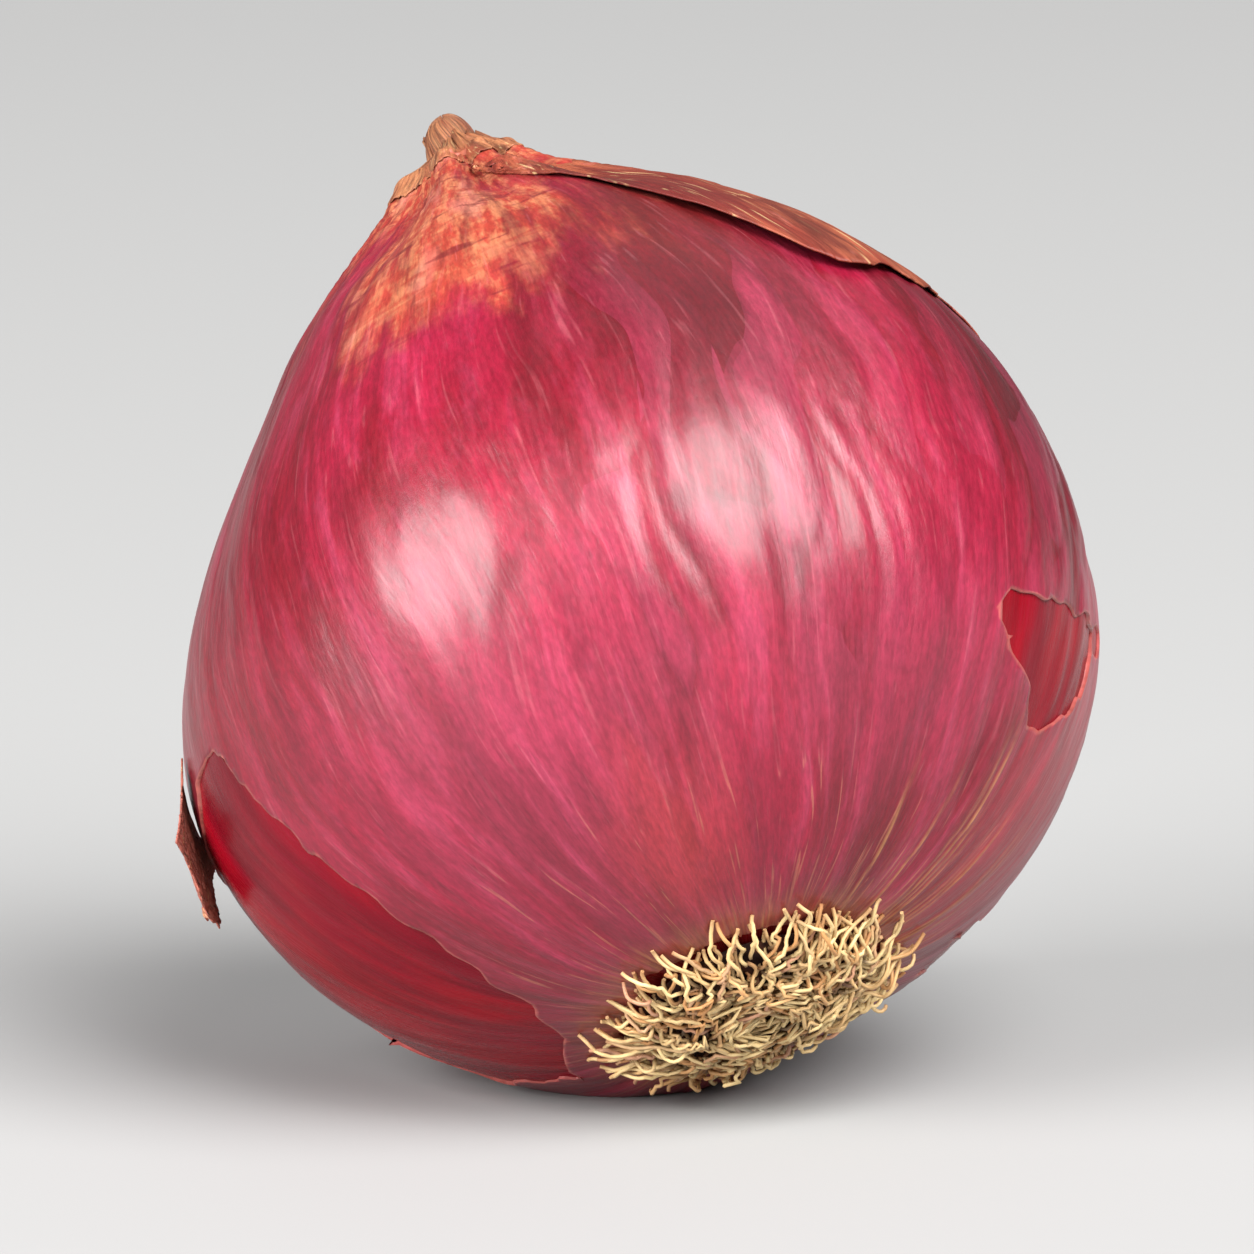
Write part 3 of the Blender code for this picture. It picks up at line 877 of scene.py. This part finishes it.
def dry_paper_material(paints, name, shades, seed, patches=()):
    """Loose papery skin or a withered leaf: tan, streaked and flecked."""
    tan, brown, red = shades
    material, shader = new_material(name, specular=0.4)
    growth, fibres, mottle = skin_grain(paints, seed, seed)
    colour = painted(
        brown,
        (ramp(fibres["Streak"], 0.36, 0.60), tan),
        (ramp(mottle["Cloud"], 0.48, 0.66, 0.0, 0.7), red),
        (ramp(mottle["Blotch"], 0.56, 0.70, 0.0, 0.5), EDGE_TAN),
        *patch_coats(paints, growth, patches),
        (times(fibres["Dark Thread"], 0.55), brown),
        (times(fibres["Pale Thread"], 0.4), PALE_STRAW),
    )
    height = add(fibres["Silk"], times(mottle["Fleck"], 0.5), times(fibres["Streak"], 1.4))
    feed(shader, {
        "Base Color": toned(colour, unevenly(fibres["Silk"], 0.80, 1.20)),
        "Roughness": unevenly(fibres["Silk"], 0.46, 0.64),
        "Normal": raised(height, 0.7, 0.22 * MM),
    })
    return material


def root_material():
    """Dried roots: pale straw, browner at their tips, and darkened low in the mat by painted shade."""
    material, shader = new_material("dried_root", specular=0.45)
    strand, along = (surface_attribute(label)["Fac"] for label in ("strand", "along"))
    fleck = specks(900.0, 3.0)
    colour = painted(
        STRAW,
        (ramp(strand, 0.05, 0.60), PALE_STRAW),
        (ramp(strand, 0.88, 0.96, 0.0, 0.7), NECK_BLUSH),
        # Painted shade: bark brown darkens each root low in the mat, near the plate.
        (ramp(along, 0.30, 0.0, 0.0, 0.9), BARK),
        (ramp(along, 0.80, 1.0, 0.0, 0.5), ROOT_TAN),
        (ramp(fleck, 0.54, 0.72, 0.0, 0.45), ROOT_TAN),
    )
    feed(shader, {
        "Base Color": colour,
        "Roughness": unevenly(fleck, 0.45, 0.65),
        "Normal": raised(fleck, 0.5, 0.08 * MM),
    })
    return material


def root_plate_material():
    """The corky disc under the roots."""
    material, shader = new_material("root_plate", specular=0.2)
    fleck = specks(700.0, 4.0)
    feed(shader, {
        "Base Color": blend(ramp(fleck, 0.4, 0.65), DARK_BARK, BARK),
        "Roughness": 0.9,
        "Normal": raised(fleck, 0.9, 0.4 * MM),
    })
    return material


# The bulb's two skins

INNER_ROWS, INNER_COLUMNS = 132, 300
OUTER_ROWS, OUTER_COLUMNS = 176, 470
SPARE_SHARE = 0.03
EDGE_FADE = 0.9 * MM
EDGE_LIFT = 0.15 * MM
RIM_DEPTH = 0.5 * MM


def bulb_skin(relief, material):
    """The whole closed bulb in its inner skin."""
    share = np.linspace(0.002, 0.998, INNER_ROWS)[:, None]
    longitude = all_round(INNER_COLUMNS)[None, :]
    places = off_bulb(share, longitude, 0.0)
    mesh = grid_mesh("bulb_skin", places, growth_of(share, longitude), wrap=True, poles=True)
    values = dict(vein_height=0.0, thread_height=0.0, floor_height=OUTER_SKIN_LIFT)
    return run_tree(new_piece("bulb_skin", mesh), relief, material=material, **values)


def slide_to_edge(share, longitude):
    """Moves points just past the outer skin's torn edge back onto it."""
    step = 1e-4
    for _ in range(4):
        margin = skin_margin(share, longitude)
        radius = outline_at(share)[0] * EQUATOR_RADIUS
        up = (skin_margin(share + step, longitude) - margin) / step / SKIN_LENGTH
        round_about = (skin_margin(share, longitude + step) - margin) / step / radius
        steep = np.maximum(up**2 + round_about**2, 0.2)
        move = np.clip(-margin / steep, -0.6 * MM, 0.6 * MM)
        share = share + move * up / SKIN_LENGTH
        longitude = longitude + move * round_about / radius
    return share, longitude


def outer_skin(relief, material):
    """The outer skin, torn away in places, its torn edges lifted a little."""
    rows = np.linspace(ROOT_RIM - SPARE_SHARE, NECK_RIM + SPARE_SHARE, OUTER_ROWS)
    share, longitude = grid(rows, all_round(OUTER_COLUMNS))
    inside = skin_margin(share, longitude) > 0.0
    beside = np.zeros_like(inside)
    for rows in (-1, 0, 1):
        for columns in (-1, 0, 1):
            beside |= np.roll(inside, (rows, columns), axis=(0, 1))
    near = beside & ~inside
    share[near], longitude[near] = slide_to_edge(share[near], longitude[near])
    margin = np.maximum(skin_margin(share, longitude), 0.0)
    edge = np.exp(-margin / EDGE_FADE)
    loose = np.clip(0.45 + 0.9 * crinkle(bulb_place(share, longitude), 8.0 * MM, 5), 0.0, 1.2)
    lift = OUTER_SKIN_LIFT + EDGE_LIFT * loose * edge
    quads = grid_quads(OUTER_ROWS, OUTER_COLUMNS, wrap=True).reshape(-1, 4)
    quads = quads[inside.ravel()[quads].any(axis=1)]
    used, faces = np.unique(quads, return_inverse=True)
    places = off_bulb(share, longitude, lift).reshape(-1, 3)[used]
    growth = growth_of(share, longitude).reshape(-1, 3)[used]
    faces = faces.reshape(-1, 4).tolist()
    mesh = mesh_of("outer_skin", places, faces, growth=growth, edge=edge.ravel()[used])
    return turn_rim_down(run_tree(new_piece("outer_skin", mesh), relief, material=material), RIM_DEPTH)


PAPER_THICKNESS = 0.14 * MM
PAPER_VEIN_HEIGHT = 0.12 * MM
FLAP_LEFT = math.radians(-24.0)
FLAP_RIGHT = math.radians(112.0)
SCRAP_MIDDLE = math.radians(-118.0)
SCRAP_WIDTH = math.radians(17.0)


def skin_sheet(name, relief, material, edge, stand_off, rows, columns):
    """A thin skin over part of the bulb. edge gives (share, longitude) and stand_off its height over it."""
    v, u = grid(even(rows), even(columns))
    share, longitude = edge(u, v)
    mesh = grid_mesh(name, off_bulb(share, longitude, stand_off(u, v)), growth_of(share, longitude))
    values = dict(vein_height=PAPER_VEIN_HEIGHT, thread_height=0.0)
    return thicken(run_tree(new_piece(name, mesh), relief, material=material, **values), PAPER_THICKNESS)


def shoulder_flap(relief, material):
    """The torn flap of dry skin over the back shoulder, from the neck round to the right."""

    def edge(u, v):
        longitude = FLAP_LEFT + (FLAP_RIGHT - FLAP_LEFT) * u
        upper = 0.820 - 0.185 * u**0.9
        lower = 0.775 - 0.275 * smooth(-0.05, 0.34, u) + 0.075 * smooth(0.55, 1.0, u)
        lower = lower + 0.010 * np.sin(17.0 * u) + 0.006 * np.sin(37.0 * u + 1.0)
        lower = lower + 0.0024 * ragged(2.4 * u, 4.0)
        pinch = smooth(0.0, 0.10, u) * (1.0 - 0.8 * smooth(0.90, 1.0, u) ** 2)
        lower = upper + (lower - upper) * np.maximum(pinch, 0.04)
        return upper + (lower - upper) * v, longitude + 0.006 * ragged(2.0 * v, 1.0)

    def stand_off(u, v):
        ripple = 0.16 * MM * (1.0 + np.sin(19.0 * u + 2.5 * v)) * v * (1.0 - smooth(0.42, 0.60, u))
        droop = 0.45 * MM * v**2 * np.exp(-(((u - 0.27) / 0.13) ** 2))
        return 0.34 * MM + ripple + droop + 0.10 * MM * np.sin(60.0 * u) * v**4

    return skin_sheet("shoulder_flap", relief, material, edge, stand_off, 64, 330)


def side_scrap(relief, material):
    """The scrap of dry skin that peels off the left side, low down."""

    def edge(u, v):
        longitude = SCRAP_MIDDLE + SCRAP_WIDTH * (u - 0.5) * (1.0 - 0.20 * v)
        ending = 1.0 - 0.14 * np.cos(7.0 * u) + 0.08 * ragged(2.2 * u, 2.0)
        return 0.388 + 0.030 * (u - 0.5) - 0.050 * v * ending, longitude + 0.010 * ragged(2.6 * v, 3.0)

    def stand_off(u, v):
        return 0.45 * MM + 1.9 * MM * v**1.5 + 0.30 * MM * (1.0 + np.sin(9.0 * u + 4.0 * v)) * v

    return skin_sheet("side_scrap", relief, material, edge, stand_off, 60, 60)


# The root end

PLATE_RADIUS = 9.0 * MM
PLATE_MIDDLE_DEPTH = 2.0 * MM
PLATE_RIM_DEPTH = 0.8 * MM
PLATE_UNDERSIDE = 0.3 * MM
SEED_BED_LIFT = 0.9 * MM
DENSEST_ROOTS = 4.0e6
ROOT_POINTS = 25
ROOT_SIDES = 5
RAY_START_BELOW = 20.0 * MM
RAY_LENGTH = 60.0 * MM
ROOT_CLEARANCE = 0.4 * MM


def root_plate(material):
    """The woody disc that the roots grow from, its edge tucked under the skin's rim."""
    around = np.linspace(0.0, math.tau, 96, endpoint=False)
    ring, longitude = grid(np.linspace(0.02, 1.0, 26) * PLATE_RADIUS, around)
    share = share_at_radius(ring)
    depth = PLATE_MIDDLE_DEPTH + (PLATE_RIM_DEPTH - PLATE_MIDDLE_DEPTH) * (ring / PLATE_RADIUS) ** 2
    knobs = 0.30 * MM * crinkle(bulb_place(share, longitude), 1.6 * MM, 9)
    top, under = off_bulb(share, longitude, depth + knobs), off_bulb(share, longitude, PLATE_UNDERSIDE)
    growth = growth_of(share, longitude)
    both, growths = np.concatenate((under, top[::-1])), np.concatenate((growth, growth[::-1]))
    mesh = grid_mesh("root_plate", both, growths, wrap=True, poles=True)
    bm = bmesh.new()
    bm.from_mesh(mesh)
    bmesh.ops.recalc_face_normals(bm, faces=bm.faces)
    bm.to_mesh(mesh)
    bm.free()
    return new_piece("root_plate", mesh, material)


def dried_roots_tree():
    """Grows curly dried roots out of a plate: each rises, bends over and runs along the bulb it touches."""
    tree, given, result = new_tree("GeometryNodeTree", "dried_roots", {
        "Geometry": "Geometry",
        "Bulb": "Object",
        "Axis": (0.0, 0.0, 1.0),
        "Middle": (0.0, 0.0, 0.0),
        "Plate Radius": PLATE_RADIUS,
        "Spacing": 0.66 * MM,
        "Root Radius": 0.16 * MM,
        "Shortest": 3.4 * MM,
        "Longest": 8.6 * MM,
        "Lift": 1.5 * MM,
        "Curl Size": 0.42 * MM,
        "Curl Turns": 2.0,
        "Seed": 5,
        "Material": "Material",
    }, {"Geometry": "Geometry"})
    axis, middle, root_radius = given["Axis"], given["Middle"], given["Root Radius"]
    seeds = put("GeometryNodeDistributePointsOnFaces", {
        "Mesh": given["Geometry"], "Seed": given["Seed"],
        "Distance Min": given["Spacing"], "Density Max": DENSEST_ROOTS,
    }, distribute_method="POISSON")["Points"]
    here = out("GeometryNodeInputPosition")
    points = keep_attribute(seeds, "start", here, "FLOAT_VECTOR")
    for number, label in enumerate(("strand", "reach", "curl", "sway", "rise", "turns")):
        draw = put("FunctionNodeRandomValue", {"Seed": number + 20}, data_type="FLOAT")[1]
        points = keep_attribute(points, label, draw)
    line = out("GeometryNodeCurvePrimitiveLine", {"End": (0.0, 0.0, 1.0 * MM)})
    line = out("GeometryNodeResampleCurve", {"Curve": line, "Count": ROOT_POINTS})
    copies = out("GeometryNodeInstanceOnPoints", {"Points": points, "Instance": line})
    roots = out("GeometryNodeRealizeInstances", {"Geometry": copies})

    def drawn(label, low, high):
        """The strand's own draw for this label, between two values."""
        inputs = {"Value": kept_attribute(label), "To Min": low, "To Max": high}
        return out("ShaderNodeMapRange", inputs)

    along = put("GeometryNodeSplineParameter")["Factor"]
    off_middle = vectors("SUBTRACT", kept_attribute("start", "FLOAT_VECTOR"), middle)
    up_axis = vectors("DOT_PRODUCT", off_middle, axis)
    flat = vectors("SUBTRACT", off_middle, stretched(axis, up_axis))
    ring = maths("DIVIDE", vectors("LENGTH", flat), given["Plate Radius"])
    lock = put("ShaderNodeSeparateXYZ", {0: noise_way(off_middle, (120.0, 120.0, 120.0))})
    spread = add(times(lock["X"], minus(8.0, times(ring, 3.0))),
                 times(drawn("sway", -1.0, 1.0), ramp(ring, 0.25, 0.85, 2.8, 0.30)))
    bend = times(add(times(lock["Y"], 5.0), drawn("curl", -0.5, 0.5)), along)
    heading = out("ShaderNodeVectorRotate", {
        "Vector": vectors("NORMALIZE", flat), "Axis": axis, "Angle": add(spread, bend),
    }, rotation_type="AXIS_ANGLE")
    stride = times(drawn("reach", given["Shortest"], given["Longest"]), maths("POWER", along, 1.1))
    stride = times(stride, minus(1.15, times(ring, 0.58)))
    ground = vectors("ADD", vectors("ADD", middle, flat), stretched(heading, stride))
    below = vectors("SUBTRACT", ground, stretched(axis, RAY_START_BELOW))
    bulb = put("GeometryNodeObjectInfo", {"Object": given["Bulb"]}, transform_space="RELATIVE")["Geometry"]
    hit = put("GeometryNodeRaycast", {
        "Target Geometry": bulb, "Source Position": below, "Ray Direction": axis, "Ray Length": RAY_LENGTH,
    }, data_type="FLOAT")
    outward = hit["Hit Normal"]
    sideways = vectors("NORMALIZE", vectors("CROSS_PRODUCT", outward, heading))

    arch = maths("SINE", times(maths("POWER", along, 0.7), 2.8))
    rise = times(drawn("rise", 0.35, 1.1), given["Lift"], minus(1.1, times(ring, 0.35)))
    rooted = times(minus(1.0, times(along, 0.8)), 1.0 * MM)
    turned = times(along, drawn("turns", 0.4, 1.0), given["Curl Turns"], math.tau)
    angle = add(turned, drawn("strand", 0.0, math.tau))
    loop = ramp(kept_attribute("curl"), 0.78, 0.95, 0.6, 2.2)
    curl = times(loop, given["Curl Size"], ramp(along, 0.05, 0.45))
    lift = add(times(arch, rise), rooted, times(maths("COSINE", angle), curl))
    reached = vectors("ADD", flat, stretched(heading, stride))
    from_middle = maths("DIVIDE", vectors("LENGTH", reached), given["Plate Radius"])
    on_plate = ramp(from_middle, 0.30, 1.15, 1.5 * MM, 0.0)
    lift = add(maths("MAXIMUM", lift, times(root_radius, 1.6)), on_plate)
    place = vectors("ADD", hit["Hit Position"], stretched(outward, lift))
    place = vectors("ADD", place, stretched(sideways, times(maths("SINE", angle), curl)))
    wander = stretched(noise_way(place, (240.0, 240.0, 240.0)), times(along, 1.4 * MM))
    place = vectors("ADD", place, wander)
    place = vectors("MAXIMUM", place, (-1.0, -1.0, ROOT_CLEARANCE))
    bent = out("GeometryNodeSetPosition", {"Geometry": roots, "Position": place})
    thin = minus(drawn("rise", 1.15, 0.8), times(maths("POWER", along, 2.0), 0.45))
    tapered = out("GeometryNodeSetCurveRadius", {"Curve": bent, "Radius": thin})
    profile = out("GeometryNodeCurvePrimitiveCircle", {"Resolution": ROOT_SIDES, "Radius": root_radius})
    tubes = out("GeometryNodeCurveToMesh", {
        "Curve": keep_attribute(tapered, "along", along), "Profile Curve": profile, "Fill Caps": True,
    })
    feed(result, {"Geometry": set_material(tubes, given["Material"])})
    return tree


def dried_roots(bulb, material):
    """The mat of dried roots on the root plate."""
    ring = np.linspace(0.03, 0.98, 14)[:, None] * PLATE_RADIUS
    longitude = np.linspace(0.0, math.tau, 64, endpoint=False)[None, :]
    share = share_at_radius(ring)
    places = off_bulb(share, longitude, SEED_BED_LIFT)
    mesh = grid_mesh("dried_roots", places, growth_of(share, longitude), wrap=True)
    middle = POSE @ Vector((0.0, 0.0, OUTLINE[0][1] * EQUATOR_RADIUS))
    return run_tree(
        new_piece("dried_roots", mesh), dried_roots_tree(),
        bulb=bulb, axis=AXIS[:], middle=middle[:], material=material,
    )


# The neck

SHEATH_THICKNESS = 0.12 * MM
STUB_SINK = 0.4 * MM
STUB_LENGTH = 5.6 * MM
LEAF_THICKNESS = 0.18 * MM


def neck_sheath(material):
    """The dry skins' own ends, drawn together over the neck and torn off at different heights."""
    v, longitude = grid(even(56), all_round(260))
    on_neck = np.clip(v / 0.45, 0.0, 1.0)
    above = smooth(0.45, 1.0, v) * 0.55 + 0.45 * np.clip((v - 0.45) / 0.55, 0.0, 1.0)
    foot = 0.854 + 0.010 * ragged(2.0 * np.sin(longitude + 0.7), 5.0)
    share = foot + (0.935 - foot) * on_neck
    upright = bulb_place(share, longitude) + bulb_normal(share, longitude) * (0.16 * MM)
    torn = 1.0 + 0.16 * ragged(2.0 * np.sin(longitude), 2.0) + 0.12 * np.sin(2.0 * longitude + 1.0)
    crumple = 0.10 * MM * np.cos(9.0 * longitude + 5.0 * v) + 0.05 * MM * np.cos(23.0 * longitude - 7.0 * v)
    narrow = 1.0 - 0.60 * above
    upright[..., :2] *= narrow[..., None]
    upright = upright + spun(longitude, crumple * (0.3 + 0.7 * on_neck), 0.0)
    upright[..., 2] += 2.3 * MM * above * torn
    growth = growth_of(0.845 + 0.16 * v, longitude)
    mesh = grid_mesh("neck_sheath", posed(upright), growth, wrap=True)
    return thicken(new_piece("neck_sheath", mesh, material), SHEATH_THICKNESS)


def neck_stub(material):
    """The shrivelled end of the neck: twisted together, pleated and closed at its tip."""
    v, longitude = even(50)[:, None], all_round(110)[None, :]
    rounding = np.sqrt(np.clip(1.0 - np.clip((v - 0.55) / 0.45, 0.0, 1.0) ** 2.4, 0.0006, 1.0))
    radius = (2.35 - 0.55 * v) * MM * rounding
    turn = longitude + 0.8 * v
    pleats = 0.09 * np.cos(3.0 * turn) + 0.05 * np.cos(8.0 * turn + 1.0)
    pleats = pleats + 0.03 * np.cos(19.0 * turn + 6.0 * v)
    around = radius * (1.0 + pleats)
    upright = np.stack((
        around * np.sin(longitude),
        -around * np.cos(longitude) * 0.8,
        NECK_TOP_HEIGHT - STUB_SINK + STUB_LENGTH * v * (1.0 + 0.05 * np.sin(2.0 * longitude)),
    ), axis=-1)
    mesh = grid_mesh("neck_stub", posed(upright), growth_of(0.90 + 0.12 * v, turn), wrap=True, poles=True)
    return new_piece("neck_stub", mesh, material)


LEAF_ENDS = (  # longitude, width, length, curl, distance from the axis, height of its foot
    (-35.0, 3.4 * MM, 4.1 * MM, -4.0, 2.3 * MM, -0.4 * MM),
    (85.0, 3.2 * MM, 3.0 * MM, 4.0, 2.3 * MM, -0.3 * MM),
    (205.0, 3.6 * MM, 4.8 * MM, 10.0, 2.1 * MM, -0.3 * MM),
)


def leaf_end(number, material):
    """One withered leaf end: a thin cupped blade with a worn, rounded tip."""
    degrees, width, length, curl, from_axis, foot = LEAF_ENDS[number]
    longitude, curl = math.radians(degrees), math.radians(curl)
    v, u = grid(even(46), even(40))
    outward = spun(longitude, 1.0, 0.0)
    sideways = np.array((math.cos(longitude), math.sin(longitude), 0.0))
    up = np.array((0.0, 0.0, 1.0))
    side = 2.0 * u - 1.0
    bend = curl * v * v
    across = 0.5 * width * side * (1.0 - 0.30 * v**3)
    cup = 0.34 * width * (1.0 - side**2) * (1.0 - 0.55 * v) - 0.34 * width
    folds = 0.08 * MM * np.cos(1.6 * math.tau * u + 3.0 * v + number) * (0.3 + v)
    round_tip = 1.0 - 0.45 * np.abs(side) ** 2.2 + 0.03 * ragged(1.6 * u + number, 2.0)
    rise = length * v * round_tip
    facing = outward * np.cos(1.6 * bend)[..., None] - up * np.sin(1.6 * bend)[..., None]
    spine = outward * (from_axis * (1.0 - 0.12 * v) + rise * np.sin(bend))[..., None]
    spine = spine + up * (NECK_TOP_HEIGHT + foot + rise * np.cos(bend))[..., None]
    upright = spine + facing * (cup + folds)[..., None] + sideways * across[..., None]
    growth = growth_of(0.90 + 0.10 * v, longitude + 0.6 * (u - 0.5))
    name = f"leaf_end_{number}"
    return thicken(new_piece(name, grid_mesh(name, posed(upright), growth), material), LEAF_THICKNESS)


# Stage

LIGHTS = (  # name, azimuth, elevation, distance, size, radiance
    ("soft_box_left", -53.0, 22.0, 3.0, 2.10, 15.5),
    ("soft_box_right", 39.0, 45.0, 3.0, 2.40, 15.0),
    ("soft_box_behind", 160.0, 62.0, 3.0, 2.40, 0.5),
)
LIGHT_TARGET = Vector((0.0, 0.0, 33.0)) * MM
SKY_COLOUR = (0.96, 0.97, 1.0, 1.0)
SKY_STRENGTH = 0.15
FLOOR_PAINT = (0.30, 0.298, 0.295, 1.0)
FLOOR_RADIUS = 6.0
CAMERA_ELEVATION = 10.0
CAMERA_DISTANCE = 0.9
CAMERA_LENS = 340.0
CAMERA_SENSOR = 36.0
CAMERA_NEAR = 0.01
CAMERA_TARGET = Vector((1.0, 0.0, 34.5)) * MM


def direction_of(azimuth, elevation):
    """From the onion towards a place, with azimuth 0 at the front and positive to the right."""
    azimuth, elevation = math.radians(azimuth), math.radians(elevation)
    return Vector((
        math.sin(azimuth) * math.cos(elevation),
        -math.cos(azimuth) * math.cos(elevation),
        math.sin(elevation),
    ))


def set_up(name, data, target, direction, distance):
    """A light or the camera, at a distance from its target and looking at it."""
    made = bpy.data.objects.new(name, data)
    made.location = target + direction * distance
    made.rotation_euler = direction.to_track_quat("Z", "Y").to_euler()
    bpy.context.scene.collection.objects.link(made)
    return made


def stage():
    """A plain pale floor, soft boxes, a faint even light and a camera at the viewing angle."""
    floor_mesh = bpy.data.meshes.new("floor")
    bm = bmesh.new()
    bmesh.ops.create_circle(bm, cap_ends=True, radius=FLOOR_RADIUS, segments=96)
    bm.to_mesh(floor_mesh)
    bm.free()
    material, shader = new_material("pale_floor", specular=0.2)
    feed(shader, {"Base Color": FLOOR_PAINT, "Roughness": 0.7})
    new_piece("floor", floor_mesh, material)

    world = bpy.data.worlds.new("studio")
    world.use_nodes = True
    background = world.node_tree.nodes["Background"]
    feed(background.inputs, {"Color": SKY_COLOUR, "Strength": SKY_STRENGTH})
    bpy.context.scene.world = world

    for name, azimuth, elevation, distance, size, radiance in LIGHTS:
        data = bpy.data.lights.new(name, "AREA")
        data.shape = "SQUARE"
        data.size = size
        data.energy = radiance * math.pi * size**2
        set_up(name, data, LIGHT_TARGET, direction_of(azimuth, elevation), distance)

    data = bpy.data.cameras.new("camera")
    data.lens = CAMERA_LENS
    data.sensor_width = CAMERA_SENSOR
    data.clip_start = CAMERA_NEAR
    view = direction_of(0.0, CAMERA_ELEVATION)
    bpy.context.scene.camera = set_up("camera", data, CAMERA_TARGET, view, CAMERA_DISTANCE)
    bpy.context.scene.view_settings.view_transform = "Standard"


def join_in(piece, node):
    """Puts a finished piece in the model, in place of a solid."""
    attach(piece, "root")
    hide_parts(node)


def main():
    paints = types.SimpleNamespace(
        fibres=skin_fibres_group(), patch=skin_patch_group(), mottle=paper_mottle_group()
    )
    relief = skin_relief_tree()
    paper = dry_paper_material(paints, "loose_paper", LOOSE_PAPER, 6.0, FLAP_PATCHES)
    leaf = dry_paper_material(paints, "withered_leaf", WITHERED_LEAF, 9.0)

    bulb = bulb_skin(relief, inner_skin_material(paints))
    join_in(bulb, "bulb")
    join_in(outer_skin(relief, outer_skin_material(paints)), "bulb")
    join_in(root_plate(root_plate_material()), "root_tuft")
    join_in(dried_roots(bulb, root_material()), "root_tuft")
    for piece in [neck_sheath(leaf), neck_stub(leaf)] + [leaf_end(i, leaf) for i in range(len(LEAF_ENDS))]:
        join_in(piece, "neck_leaves")
    join_in(shoulder_flap(relief, paper), "shoulder_paper")
    join_in(side_scrap(relief, paper), "side_paper")
    stage()


main()
